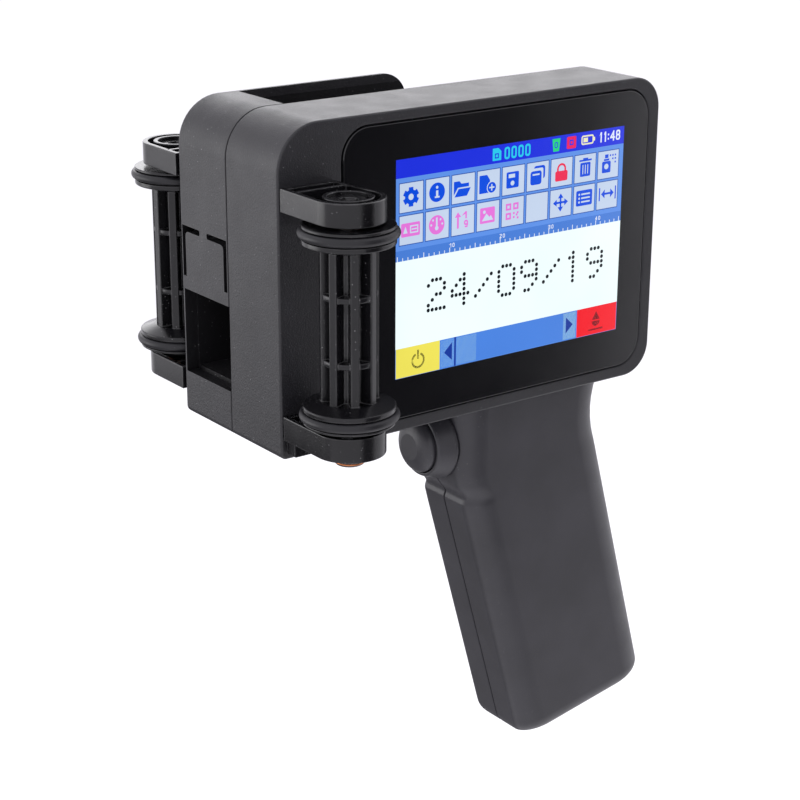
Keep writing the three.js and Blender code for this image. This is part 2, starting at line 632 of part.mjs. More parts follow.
// One moulded half of the handle, with its screw bosses.
function handleHalf(end) {
  const shell = cut(handleBlank(), handleCavity());
  const bosses = HANDLE_SCREWS.map((place) => {
    const { x, z } = onHandle(...place);
    return alongY(disc(3.1, -GRIP.half + 1, GRIP.half - 1, 14)).translate([x, 0, z]);
  });
  const bores = HANDLE_SCREWS.flatMap((place) => {
    const { x, z } = onHandle(...place);
    const head = alongY(disc(2.7, GRIP.half - 3.2, GRIP.half + 1, 14));
    return [head, alongY(disc(1.5, -GRIP.half + 2.5, GRIP.half, 12))].map((b) => b.translate([x, 0, z]));
  });
  const boltBosses = GRIP_BOLTS.map(([x, y]) =>
    join(disc(3.0, -9, -GAP, 14), block(-3, 3, 0, 4.2, -9, -GAP)).translate([x, y, 0]));
  const boltBores = GRIP_BOLTS.map(([x, y]) => disc(1.7, -8, 1, 12).translate([x, y, 0]));
  const triggerHole = alongX(disc(COLLAR.back + GAP, 50, COLLAR.x1 + 0.5, ROUND_STEPS));
  const blank = join(shell, ...bosses, ...boltBosses);
  return cut(blank, ...bores, ...boltBores, triggerHole.translate([0, 0, TRIGGER.z]))
    .intersect(handleBlank())
    .intersect(HALF_SPACE[end]);
}

function handleScrews() {
  const screw = alongY(countersunkScrew(17));
  return HANDLE_SCREWS.map((place, i) => {
    const { x, z } = onHandle(...place);
    return part(`handle_screw_${i + 1}`, screw, 'steel', [x, GRIP.half - 1.4, z]);
  });
}

// Pan-head bolts through the saddle floor into the rear half of the handle.
function gripBolts() {
  const bolt = turned([[0, -7], [1.4, -7], [1.4, 2.5], [2.7, 2.5], [2.7, 3.9], [2.0, 4.4], [0, 4.4]], 14);
  return GRIP_BOLTS.map(([x, y], i) => part(`grip_bolt_${i + 1}`, bolt, 'steel', [x, y, 0]));
}

function batteryCells() {
  return CELL.across.map((across, i) => {
    const { radius, length, along } = CELL;
    const top = length + 1;
    const profile = [
      [0, 0], [radius, 0], [radius, length - 1], [radius - 1, length], [3, length], [3, top], [0, top],
    ];
    const foot = onHandle(across, along + length);
    const cell = part(`battery_cell_${i + 1}`, turned(profile), 'cell', foot.toArray());
    cell.rotation.y = -RAKE;
    return cell;
  });
}

// Protection board across the top of the two cells.
function batteryBoard() {
  const place = onHandle(27, CELL.along - 1.9).toArray();
  const board = part('battery_board', block(-10, 10, -7, 7, 0, 1.4), 'board', place);
  board.rotation.y = -RAKE;
  return board;
}

// ---- trigger --------------------------------------------------------------------------------
function triggerButton() {
  const { tip, base, radius, land, back, stem } = TRIGGER;
  const dome = [[0, tip], [land, tip]];
  for (const angle of [25, 50, 70]) {
    const a = THREE.MathUtils.degToRad(angle);
    dome.push([land + (radius - land) * Math.sin(a), base - (base - tip) * Math.cos(a)]);
  }
  const shank = [[radius, base], [radius, back], [stem, back], [stem, STEM_END], [0, STEM_END]];
  return alongX(turned([...dome, ...shank]));
}

function triggerCollar() {
  const { x0, front, seat, back, x1, floor, floorThick } = COLLAR;
  const bore = TRIGGER.radius + GAP;
  const guide = TRIGGER.stem + 0.15;
  return alongX(turned([
    [bore, x0], [front, x0], [front + 0.3, x0 + 0.5], [back, seat], [back, x1], [bore, x1],
    [bore, floor + floorThick], [guide, floor + floorThick], [guide, floor],
    [bore, floor], [bore, x0],
  ]));
}

class Helix extends THREE.Curve {
  constructor(radius, x0, x1, turns) {
    super();
    Object.assign(this, { radius, x0, x1, turns });
  }

  getPoint(t, target = new THREE.Vector3()) {
    const angle = 2 * Math.PI * this.turns * t;
    const x = this.x0 + (this.x1 - this.x0) * t;
    return target.set(x, this.radius * Math.cos(angle), this.radius * Math.sin(angle));
  }
}

function triggerSpring() {
  const { mean, wire, turns } = SPRING;
  const path = new Helix(mean, TRIGGER.back + GAP + wire, COLLAR.floor - GAP - wire, turns);
  const section = new THREE.Shape().absarc(0, 0, wire, 0, 2 * Math.PI, false);
  const options = { steps: 10 * turns, extrudePath: path, bevelEnabled: false, curveSegments: 5 };
  return toSolid(new THREE.ExtrudeGeometry(section, options));
}

// Micro switch behind the stem; the stem stops against its plunger.
function triggerSwitch() {
  const tip = STEM_END + TRIGGER_TRAVEL + 0.2;
  return join(block(tip + 1.2, tip + 7.4, -3.2, 3.2, -5.5, 5.5), alongX(disc(1.1, tip, tip + 2, 12)));
}

function trigger() {
  return group([
    part('trigger_collar', triggerCollar(), 'grip'),
    part('trigger_button', triggerButton(), 'grip'),
    part('trigger_spring', triggerSpring(), 'steel'),
    part('trigger_switch', triggerSwitch(), 'roller'),
  ], [0, 0, TRIGGER.z]);
}

// ---- the printer ----------------------------------------------------------------------------
const housing = group([
  part('front_shell', frontShell(), 'shell'),
  part('rear_shell', rearShell(), 'shell'),
  part('partition_plate', partition(), 'shell'),
  part('touch_glass', touchGlass(), 'glass'),
  part('display_module', displayModule(), 'screen'),
  part('main_board', mainBoard(), 'board'),
  part('usb_socket', socket(PORTS.usb, 14), 'steel'),
  part('charge_socket', socket(PORTS.charge, 8), 'steel'),
  part('power_button', powerButton(), 'roller'),
  part('power_switch', powerSwitch(), 'roller'),
  part('contact_block', contactBlock(), 'roller'),
  part('cartridge_spring', cartridgeSpring(), 'steel'),
  ...partitionScrews(),
  ...saddleScrews(),
]);

const handle = group([
  part('handle_front_half', handleHalf('front'), 'grip'),
  part('handle_rear_half', handleHalf('rear'), 'grip'),
  ...handleScrews(),
  ...gripBolts(),
  ...batteryCells(),
  batteryBoard(),
]);

const origin = onHandle(GRIP_POINT.across, GRIP_POINT.along).negate().toArray();
const printer = group([housing, rollerUnit('front'), rollerUnit('rear'), handle, trigger()], origin);

export default printer;
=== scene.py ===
"""Looks of the handheld date code printer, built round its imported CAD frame.

Shapes are drawn in the body frame, in millimetres: X from the print face along the display,
Y from the joint of the two shells towards the back, Z up from the underside of the housing.
"""

import math

import bmesh
import bpy
from mathutils import Matrix, Vector


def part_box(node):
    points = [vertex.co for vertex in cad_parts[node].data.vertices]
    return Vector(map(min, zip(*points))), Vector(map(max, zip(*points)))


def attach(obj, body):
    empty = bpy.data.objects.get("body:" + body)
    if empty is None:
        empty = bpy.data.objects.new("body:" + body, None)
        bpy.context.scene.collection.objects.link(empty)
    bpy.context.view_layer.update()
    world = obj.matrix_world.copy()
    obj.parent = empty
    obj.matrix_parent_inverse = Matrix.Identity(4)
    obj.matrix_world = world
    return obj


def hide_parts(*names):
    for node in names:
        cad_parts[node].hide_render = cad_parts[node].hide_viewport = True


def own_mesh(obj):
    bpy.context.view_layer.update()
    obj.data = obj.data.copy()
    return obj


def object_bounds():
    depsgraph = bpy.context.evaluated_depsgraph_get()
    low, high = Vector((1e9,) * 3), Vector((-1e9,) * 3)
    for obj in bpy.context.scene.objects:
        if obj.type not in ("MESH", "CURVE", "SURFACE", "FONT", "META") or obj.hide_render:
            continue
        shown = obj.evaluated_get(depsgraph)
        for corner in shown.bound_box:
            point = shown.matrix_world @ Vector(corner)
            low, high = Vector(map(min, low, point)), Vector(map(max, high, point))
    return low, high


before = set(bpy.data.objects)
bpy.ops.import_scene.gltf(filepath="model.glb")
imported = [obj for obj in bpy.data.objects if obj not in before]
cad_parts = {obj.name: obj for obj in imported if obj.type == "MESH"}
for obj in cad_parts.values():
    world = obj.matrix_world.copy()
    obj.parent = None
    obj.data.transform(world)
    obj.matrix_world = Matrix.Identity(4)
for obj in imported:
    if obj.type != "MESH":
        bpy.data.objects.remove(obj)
cad_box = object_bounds()

# ---- the body frame ---------------------------------------------------------------------------
MM = 0.001
HALF = 21.5  # half the housing's depth
SHELL_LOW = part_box("front_shell")[0]
ORIGIN = Vector((SHELL_LOW.x, SHELL_LOW.y + HALF * MM, SHELL_LOW.z))


def at(x, y, z):
    """Row-frame point, in metres, of a body-frame point in millimetres."""
    return ORIGIN + Vector((x, y, z)) * MM


# ---- dimensions -------------------------------------------------------------------------------
SEAM = 0.15
GAP = 0.3
WALL = 2.2
WIDTH, HEIGHT = 114.1, 77.4
BODY_CORNERS = (11, 8, 8, 1.6)  # top left, top right, bottom right, bottom left
FRONT_EDGE, REAR_EDGE, SEAT_EDGE = 0.6, 1.2, 0.45

PARTITION_SCREWS = ((8.5, 12.5), (10.5, 64), (108.3, 9.5), (108.3, 67))
SADDLE_SCREWS = (71.5, 107)
USB_OPENING = (-11.3, 17.1, -4.9, 30.9)  # y, z to y, z, through the right end
CHARGE_OPENING = (-11.3, 37.1, -7.3, 46.9)
POWER_KEY = (0, -8.1, 56)

GLASS = (17.5, 110.3, 3.3, 74.6)  # left, right, bottom, top
DISPLAY_OPENING = (27.6, 105.4, 5.9, 70.8)
SEAT_DEPTH = 1.35
GLASS_RADIUS = 7
GLASS_FACE = -HALF - 0.15
SCREEN_LEFT, SCREEN_TOP = 32.1, 66.0
SCREEN_UNIT = 70.1 / 320  # the display's own grid is 320 by 240

BAY_LENGTH = 65.5
BAY_CORNERS = (11, 7.3, 0.8, 1.6)
BAY_BRIDGE = 16
BAY_DECK = 11.8
BAY_BACK = 19.5
PAST_BAY = 90  # the bay's cutters run to here, past its open right end
WINDOW_BACK, WINDOW_LOW, WINDOW_HIGH = 20.1, 10.8, 31.6
SADDLE_LEFT, SADDLE_RIGHT = 61.5, 112

AXLE_X = 8.8
AXLE_Y = {"front": -36.1, "rear": 36.8}
ROLLER_BOTTOM, ROLLER_TOP = 12.1, 57.6
GROOVE = 1.85  # middle of each flange's ring groove, from the roller's end
RIBS = 8
UPPER_ARM = (58.3, 63.7)
LOWER_ARM = (5.0, 10.7)
ARM_RADIUS, ARM_WALL, ARM_ROOT = 8.3, 1.3, 6.4

TRIGGER_Z = -14.6
TRIGGER_AXIS = (0, 0, TRIGGER_Z)  # a point of it: it runs along X

RAKE = math.radians(15.45)
ACROSS = Vector((math.cos(RAKE), 0, math.sin(RAKE)))
ALONG = Vector((math.sin(RAKE), 0, -math.cos(RAKE)))
GRIP_START = Vector((54.05, 0, 6.07))
GRIP_WIDTH, GRIP_HALF = 45.9, 12
GRIP_FLAT, GRIP_SHOULDER = 7.2, 8.1  # half the flat front, and the length of the rounding behind it
GRIP_BACK_FLAT, GRIP_BACK_ROUND = 5, 9.4
GRIP_FRONT_END, GRIP_REAR_END, GRIP_ROUND = 114.9, 119.1, 4.8
HANDLE_SCREWS = ((40, 28.5), (10, 109), (35, 112))


def on_handle(across, along):
    return GRIP_START + ACROSS * across + ALONG * along


# ---- outlines ---------------------------------------------------------------------------------
def rounded_rect(x0, x1, z0, z1, corners, margin=0.0, steps=12):
    """Outline of a rectangle with four corner radii, drawn in by a margin all round."""
    top_left, top_right, bottom_right, bottom_left = corners
    centres = (
        (x1 - top_right, z1 - top_right, top_right, 0),
        (x0 + top_left, z1 - top_left, top_left, 1),
        (x0 + bottom_left, z0 + bottom_left, bottom_left, 2),
        (x1 - bottom_right, z0 + bottom_right, bottom_right, 3),
    )
    points = []
    for x, z, radius, quarter in centres:
        r = max(radius - margin, 0.3)
        shift = r - (radius - margin)
        sx = 1 if quarter in (0, 3) else -1
        sz = 1 if quarter in (0, 1) else -1
        for i in range(steps + 1):
            a = math.radians(90 * quarter + 90 * i / steps)
            points.append((x - sx * shift + r * math.cos(a), z - sz * shift + r * math.sin(a)))
    return points


def filleted(points, steps=5):
    """Closed polygon of (x, y, radius) corners with each corner rounded to its radius."""
    out = []
    for i, (x, y, radius) in enumerate(points):
        corner = Vector((x, y))
        before = (Vector(points[i - 1][:2]) - corner).normalized()
        after = (Vector(points[(i + 1) % len(points)][:2]) - corner).normalized()
        if radius <= 0 or (before + after).length < 1e-4:
            out.append((x, y))
            continue
        half = before.angle(after) / 2
        centre = corner + (before + after).normalized() * radius / math.sin(half)
        start = corner + before * radius / math.tan(half) - centre
        end = corner + after * radius / math.tan(half) - centre
        turn = -start.angle_signed(end)
        for k in range(steps + 1):
            a = turn * k / steps
            px = start.x * math.cos(a) - start.y * math.sin(a)
            py = start.x * math.sin(a) + start.y * math.cos(a)
            out.append((centre.x + px, centre.y + py))
    return out


def soft_box(x0, y0, x1, y1, radius, steps=5):
    """Rectangle with all its corners rounded alike."""
    return filleted([(x0, y0, radius), (x1, y0, radius), (x1, y1, radius), (x0, y1, radius)], steps)


def body_outline(margin=0.0):
    return rounded_rect(0, WIDTH, 0, HEIGHT, BODY_CORNERS, margin)


def bay_outline(margin=0.0):
    return rounded_rect(0, BAY_LENGTH, 0, HEIGHT, BAY_CORNERS, margin)


def glass_outline(margin=0.0):
    return rounded_rect(*GLASS, (GLASS_RADIUS,) * 4, margin)


def at_depth(outline, y):
    """An (x, z) outline as a ring of points at one depth."""
    return [(x, y, z) for x, z in outline]


def round_steps(radius, steps=6):
    """(inset, depth) pairs round a quarter circle, from the face's rim down to the side."""
    angles = [math.pi / 2 * (1 - i / steps) for i in range(steps + 1)]
    return [(radius * (1 - math.cos(a)), radius * (1 - math.sin(a))) for a in angles]


# ---- meshes -----------------------------------------------------------------------------------
class Mesh:
    """Collects closed skins, in body-frame millimetres, and turns them into one piece."""

    def __init__(self):
        self.verts = []
        self.faces = []

    def skin(self, rings, wrap=False):
        """Skin through closed rings of equal length: capped ends, or wrapped round to the start."""
        count = len(rings[0])
        base = len(self.verts)
        for ring in rings:
            self.verts.extend(tuple(p) for p in ring)
        spans = len(rings) if wrap else len(rings) - 1
        for r in range(spans):
            a = base + r * count
            b = base + ((r + 1) % len(rings)) * count
            for i in range(count):
                j = (i + 1) % count
                self.faces.append((a + i, a + j, b + j, b + i))
        if not wrap:
            self.faces.append(tuple(range(base, base + count)))
            last = base + spans * count
            self.faces.append(tuple(range(last, last + count)))
        return self

    def flat(self, points):
        """One flat face."""
        base = len(self.verts)
        self.verts.extend(tuple(p) for p in points)
        self.faces.append(tuple(range(base, base + len(points))))
        return self

    def slab(self, outline, y0, y1):
        """Solid between two depths of one (x, z) outline."""
        return self.skin([[(x, y, z) for x, z in outline] for y in (y0, y1)])

    def prism(self, outline, z0, z1):
        """Solid between two heights of one (x, y) outline."""
        return self.skin([[(x, y, z) for x, y in outline] for z in (z0, z1)])

    def beam(self, outline, x0, x1):
        """Solid between two lengths of one (y, z) outline."""
        return self.skin([[(x, y, z) for y, z in outline] for x in (x0, x1)])

    def block(self, x0, x1, y0, y1, z0, z1):
        return self.prism([(x0, y0), (x1, y0), (x1, y1), (x0, y1)], z0, z1)

    def lathe(self, profile, axis="Z", centre=(0, 0, 0), steps=96, wrap=False):
        """Solid of revolution of (radius, height) points: capped ends, or wrapped when it has a bore."""
        cx, cy, cz = centre
        rings = []
        for radius, h in profile:
            ring = []
            for i in range(steps):
                a = 2 * math.pi * i / steps
                u, v = radius * math.cos(a), radius * math.sin(a)
                x, y, z = {"X": (h, u, v), "Y": (u, h, v), "Z": (u, v, h)}[axis]
                ring.append((cx + x, cy + y, cz + z))
            rings.append(ring)
        return self.skin(rings, wrap)

    def tube(self, inner, outer, z0, z1, centre, edge, steps=96):
        """Upright ring with rounded rims."""
        return self.lathe(soft_box(inner, z0, outer, z1, edge, 3), "Z", centre, steps, wrap=True)

    def torus(self, radius, section, centre):
        ring = [2 * math.pi * i / 20 for i in range(20)]
        profile = [(radius + section * math.cos(a), section * math.sin(a)) for a in ring]
        return self.lathe(profile, "Z", centre, 112, wrap=True)

    def data(self, name):
        mesh = bpy.data.meshes.new(name)
        mesh.from_pydata([at(*v) for v in self.verts], [], self.faces)
        bm = bmesh.new()
        bm.from_mesh(mesh)
        bmesh.ops.remove_doubles(bm, verts=bm.verts, dist=1e-7)
        bmesh.ops.recalc_face_normals(bm, faces=bm.faces)
        bm.to_mesh(mesh)
        bm.free()
        return mesh

    def object(self, name):
        obj = bpy.data.objects.new(name, self.data(name))
        bpy.context.scene.collection.objects.link(obj)
        return obj


def applied(obj):
    """Bakes an object's modifiers into its mesh."""
    graph = bpy.context.evaluated_depsgraph_get()
    baked = bpy.data.meshes.new_from_object(obj.evaluated_get(graph))
    obj.modifiers.clear()
    obj.data = baked
    return obj


def combine(obj, meshes, operation):
    """Joins other solids to an object, or cuts them out of it."""
    for mesh in meshes:
        tool = mesh.object("tool")
        modifier = obj.modifiers.new(operation, "BOOLEAN")
        modifier.operation = operation
        modifier.solver = "EXACT"
        modifier.object = tool
        applied(obj)
        bpy.data.objects.remove(tool)
    return obj


def cut(obj, *meshes):
    return combine(obj, meshes, "DIFFERENCE")


def join(obj, *meshes):
    return combine(obj, meshes, "UNION")


def finish_piece(obj, material, node=None, body="housing", bevel=0.0, angle=35):
    """Rounds the sharp edges, shades the piece, and puts it on its CAD body in place of its node."""
    obj.data.materials.clear()
    obj.data.materials.append(material)
    if bevel:
        modifier = obj.modifiers.new("edges", "BEVEL")
        modifier.width = bevel * MM
        modifier.segments = 3
        modifier.limit_method = "ANGLE"
        modifier.angle_limit = math.radians(angle)
        applied(obj)
    obj.data.shade_smooth()
    obj.data.set_sharp_from_angle(angle=math.radians(angle))
    weighted = obj.modifiers.new("normals", "WEIGHTED_NORMAL")
    weighted.keep_sharp = True
    weighted.weight = 100
    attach(obj, body)
    if node:
        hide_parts(node)
    return obj


def copy_of(node, name, material, bevel):
    """A CAD node's shape with its edges rounded."""
    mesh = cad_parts[node].data.copy()
    bm = bmesh.new()
    bm.from_mesh(mesh)
    bmesh.ops.remove_doubles(bm, verts=bm.verts, dist=1e-6)
    bmesh.ops.dissolve_limit(bm, angle_limit=math.radians(2), verts=bm.verts, edges=bm.edges)
    bm.to_mesh(mesh)
    bm.free()
    obj = bpy.data.objects.new(name, mesh)
    bpy.context.scene.collection.objects.link(obj)
    return finish_piece(obj, material, node, bevel=bevel)


# ---- materials --------------------------------------------------------------------------------
def node_material(name):
    material = bpy.data.materials.new(name)
    material.use_nodes = True
    tree = material.node_tree
    return material, tree, tree.nodes["Principled BSDF"]


def noise(tree, scale, detail=4.0, roughness=0.55, stretch=None):
    """Noise of the piece's own coordinates, which a stretch multiplies first."""
    place = tree.nodes.new("ShaderNodeTexCoord").outputs["Object"]
    if stretch:
        mapping = tree.nodes.new("ShaderNodeMapping")
        mapping.inputs["Scale"].default_value = stretch
        tree.links.new(place, mapping.inputs["Vector"])
        place = mapping.outputs["Vector"]
    texture = tree.nodes.new("ShaderNodeTexNoise")
    texture.inputs["Scale"].default_value = scale
    texture.inputs["Detail"].default_value = detail
    texture.inputs["Roughness"].default_value = roughness
    tree.links.new(place, texture.inputs["Vector"])
    return texture.outputs["Fac"]


def ramp(tree, source, stops):
    """Colour ramp of (position, colour) stops; a grey is given as one number."""
    node = tree.nodes.new("ShaderNodeValToRGB")
    elements = node.color_ramp.elements
    while len(elements) < len(stops):
        elements.new(0.5)
    for element, (position, colour) in zip(elements, stops):
        element.position = position
        shade = (colour,) * 3 if isinstance(colour, (int, float)) else colour
        element.color = (*shade, 1)
    tree.links.new(source, node.inputs["Fac"])
    return node.outputs["Color"]


def bump(tree, source, strength, distance, below=None):
    node = tree.nodes.new("ShaderNodeBump")
    node.inputs["Strength"].default_value = strength
    node.inputs["Distance"].default_value = distance
    tree.links.new(source, node.inputs["Height"])
    if below:
        tree.links.new(below, node.inputs["Normal"])
    return node.outputs["Normal"]


def vector_math(tree, operation, first, second):
    """Output of one vector operation on a socket and a socket or constant."""
    node = tree.nodes.new("ShaderNodeVectorMath")
    node.operation = operation
    tree.links.new(first, node.inputs[0])
    if isinstance(second, tuple):
        node.inputs[1].default_value = second
    else:
        tree.links.new(second, node.inputs[1])
    return node.outputs["Value" if operation == "DOT_PRODUCT" else "Vector"]


def dust_specks(tree, brightness):
    """Sparse pale specks, a fifth of a millimetre across, gathered in loose patches."""
    coordinates = tree.nodes.new("ShaderNodeTexCoord")
    cells = tree.nodes.new("ShaderNodeTexVoronoi")
    cells.inputs["Scale"].default_value = 1050
    tree.links.new(coordinates.outputs["Object"], cells.inputs["Vector"])
    speck = ramp(tree, cells.outputs["Distance"], [(0.09, 1.0), (0.17, 0.0)])
    some = ramp(tree, cells.outputs["Color"], [(0.42, 0.0), (0.85, 1.0)])
    patch = ramp(tree, noise(tree, 55), [(0.42, 0.12), (0.62, 1.0)])
    product = vector_math(tree, "MULTIPLY", vector_math(tree, "MULTIPLY", speck, some), patch)
    return vector_math(tree, "MULTIPLY", product, (brightness,) * 3)


def highlit_worn_edges(tree, radius, brightness):
    """Pale edge colour where the surface turns sharply within a given radius: partly wear, partly a
    painted highlight where edges catch the light.
    """
    turned = tree.nodes.new("ShaderNodeBevel")
    turned.samples = 4
    turned.inputs["Radius"].default_value = radius
    surface = tree.nodes.new("ShaderNodeNewGeometry")
    agreement = vector_math(tree, "DOT_PRODUCT", turned.outputs["Normal"], surface.outputs["Normal"])
    edge = ramp(tree, agreement, [(0.78, 1.0), (0.97, 0.0)])
    patchy = ramp(tree, noise(tree, 260), [(0.35, 0.25), (0.65, 1.0)])
    edge_wear_and_sheen = vector_math(tree, "MULTIPLY", edge, patchy)
    return vector_math(tree, "MULTIPLY", edge_wear_and_sheen, (brightness,) * 3)


def moulded(name, colour, rough, grain, depth, specks=0.0, edge_wear_and_sheen=0.0, specular=0.5):
    """Moulded plastic: spark-eroded grain, uneven gloss, pale edges (part wear, part painted highlight)
    and some dust.
    """
    material, tree, shader = node_material(name)
    shader.inputs["Specular IOR Level"].default_value = specular
    darker = tuple(c * 0.8 for c in colour)
    lighter = tuple(c * 1.2 for c in colour)
    tone = ramp(tree, noise(tree, 60), [(0.3, darker), (0.7, lighter)])
    if specks:
        tone = vector_math(tree, "ADD", tone, dust_specks(tree, specks))
    # pale edges: part edge wear, part painted highlight along edges that catch the light
    if edge_wear_and_sheen:
        tone = vector_math(tree, "ADD", tone, highlit_worn_edges(tree, 0.0006, edge_wear_and_sheen))
    tree.links.new(tone, shader.inputs["Base Color"])
    gloss = ramp(tree, noise(tree, 140), [(0.25, rough - 0.05), (0.75, rough + 0.05)])
    tree.links.new(gloss, shader.inputs["Roughness"])
    coarse = bump(tree, noise(tree, grain), depth, 0.00015)
    fine = bump(tree, noise(tree, grain * 3.1, 2.0), depth * 0.7, 0.00005, coarse)
    tree.links.new(fine, shader.inputs["Normal"])
    return material


def metal(name, colour, rough, stretch=(1, 1, 1)):
    """Bright metal with fine machining marks."""
    material, tree, shader = node_material(name)
    shader.inputs["Metallic"].default_value = 1.0
    marks = noise(tree, 900, 2.0, 0.5, stretch)
    tone = ramp(tree, marks, [(0.3, tuple(c * 0.85 for c in colour)), (0.7, colour)])
    tree.links.new(tone, shader.inputs["Base Color"])
    gloss = ramp(tree, marks, [(0.3, rough - 0.08), (0.7, rough + 0.08)])
    tree.links.new(gloss, shader.inputs["Roughness"])
    tree.links.new(bump(tree, marks, 0.15, 0.00002), shader.inputs["Normal"])
    return material


def board_material():
    """Green solder mask with copper tracks showing through it."""
    material, tree, shader = node_material("board")
    coordinates = tree.nodes.new("ShaderNodeTexCoord")
    brick = tree.nodes.new("ShaderNodeTexBrick")
    brick.inputs["Scale"].default_value = 260
    brick.inputs["Mortar Size"].default_value = 0.06
    brick.inputs["Color1"].default_value = (0.012, 0.09, 0.035, 1)
    brick.inputs["Color2"].default_value = (0.016, 0.11, 0.045, 1)
    brick.inputs["Mortar"].default_value = (0.05, 0.2, 0.09, 1)
    tree.links.new(coordinates.outputs["Object"], brick.inputs["Vector"])
    tree.links.new(brick.outputs["Color"], shader.inputs["Base Color"])
    shader.inputs["Roughness"].default_value = 0.35
    tree.links.new(bump(tree, brick.outputs["Fac"], 0.2, 0.00003), shader.inputs["Normal"])
    return material


def glass_material():
    """Cover glass with a black printed back: near-black, glossy, with faint wipe marks."""
    material, tree, shader = node_material("cover_glass")
    tone = ramp(tree, noise(tree, 30), [(0.3, (0.004, 0.004, 0.005)), (0.7, (0.007, 0.007, 0.008))])
    tree.links.new(tone, shader.inputs["Base Color"])
    gloss = ramp(tree, noise(tree, 45, 6.0), [(0.35, 0.1), (0.75, 0.17)])
    tree.links.new(gloss, shader.inputs["Roughness"])
    return material


def lit(name, colour, strength=1.0):
    """Lit part of the display under glossy glass, with a slightly uneven backlight."""
    material, tree, shader = node_material(name)
    shader.inputs["Base Color"].default_value = (0.004, 0.004, 0.005, 1)
    shader.inputs["Roughness"].default_value = 0.12
    linear = [srgb_to_linear(c / 255) for c in colour]
    dim = tuple(c * 0.93 for c in linear)
    glow = ramp(tree, noise(tree, 40, 2.0), [(0.3, dim), (0.65, tuple(linear))])
    tree.links.new(glow, shader.inputs["Emission Color"])
    shader.inputs["Emission Strength"].default_value = strength
    return material


def srgb_to_linear(value):
    return value / 12.92 if value <= 0.04045 else ((value + 0.055) / 1.055) ** 2.4


# The pale edges on these plastics are part wear and part painted highlight.
SHELL = moulded("shell_plastic", (0.0120, 0.0116, 0.0142), 0.42, 2500, 0.6, specks=0.3, edge_wear_and_sheen=0.03)
# Darker than the shell: its base colour is painted shade for the inside of the bay.
BAY_SHADED_SKIN = moulded("bay_shaded_plastic", (0.0050, 0.0048, 0.0058), 0.5, 1500, 0.5, specks=0.3, specular=0.3)
GRIP = moulded("grip_plastic", (0.0255, 0.0247, 0.0295), 0.4, 3200, 0.2, specks=0.08, edge_wear_and_sheen=0.012)
SATIN = moulded(
    "satin_plastic", (0.0055, 0.0053, 0.0064), 0.22, 2200, 0.14, specks=0.25, edge_wear_and_sheen=0.1, specular=0.42
)
RUBBER = moulded("rubber", (0.011, 0.0108, 0.013), 0.4, 1800, 0.2, specks=0.15, specular=0.4)
STEEL = metal("steel", (0.62, 0.63, 0.65), 0.3, (1, 1, 12))
BRONZE = metal("sintered_bronze", (0.55, 0.2, 0.08), 0.38, (1, 1, 6))
GOLD = metal("gold_plate", (0.85, 0.6, 0.25), 0.22)
FERRITE = metal("ferrite", (0.05, 0.05, 0.055), 0.5)
CELL_WRAP = moulded("cell_wrap", (0.02, 0.12, 0.4), 0.25, 300, 0.05)
COVER = glass_material()
BOARD = board_material()


# ---- housing ----------------------------------------------------------------------------------
def lip(outline, joint, inward):
    """Rings of a shell's joint edge, slightly rounded so that the parting line shows."""
    return [at_depth(outline(inset), joint + inward * depth) for inset, depth in round_steps(0.22, 3)]


def front_housing():
    face = -HALF
    rings = lip(body_outline, -SEAM, -1)
    for inset, depth in reversed(round_steps(FRONT_EDGE)):
        rings.append(at_depth(body_outline(inset), face + depth))
    for inset, depth in round_steps(SEAT_EDGE, 4):
        rings.append(at_depth(glass_outline(-GAP - inset), face + depth))
    rings.append(at_depth(glass_outline(-GAP), face + SEAT_DEPTH))
    window = rounded_rect(*DISPLAY_OPENING, (0.6,) * 4)
    for y in (face + SEAT_DEPTH, face + WALL):
        rings.append(at_depth(window, y))
    for y in (face + WALL, -SEAM):
        rings.append(at_depth(body_outline(WALL), y))
    shell = Mesh().skin(rings, wrap=True).object("front_housing")
    cut(
        shell,
        Mesh().beam(soft_box(*USB_OPENING, 1), 110, 116),
        Mesh().beam(soft_box(*CHARGE_OPENING, 2), 110, 116),
        Mesh().lathe([(3.7, 110), (3.7, 116)], "X", POWER_KEY, 64),
    )
    finish_piece(shell, SHELL, "front_shell")


def cover_glass():
    rings = [at_depth(glass_outline(), GLASS_FACE + 1.2)]
    for inset, depth in reversed(round_steps(0.35, 4)):
        rings.append(at_depth(glass_outline(inset), GLASS_FACE + depth))
    plate = Mesh().skin(rings).object("cover_glass")
    finish_piece(plate, COVER, "touch_glass")


def slot_cutter(side_y, end_y):
    """Slot round one side of the spring tongue: up the side, round the corner, along the top."""
    inward = 1 if end_y > side_y else -1
    top, low, width = 47.25, 34.8, 1.4
    points = [
        (side_y, low, 0),
        (side_y, top, 0.15),
        (end_y, top, 0.5),
        (end_y, top - width, 0.5),
        (side_y + inward * width, top - width, 1.2),
        (side_y + inward * width, low, 0),
    ]
    return Mesh().beam(filleted(points), -1, WALL + 1)


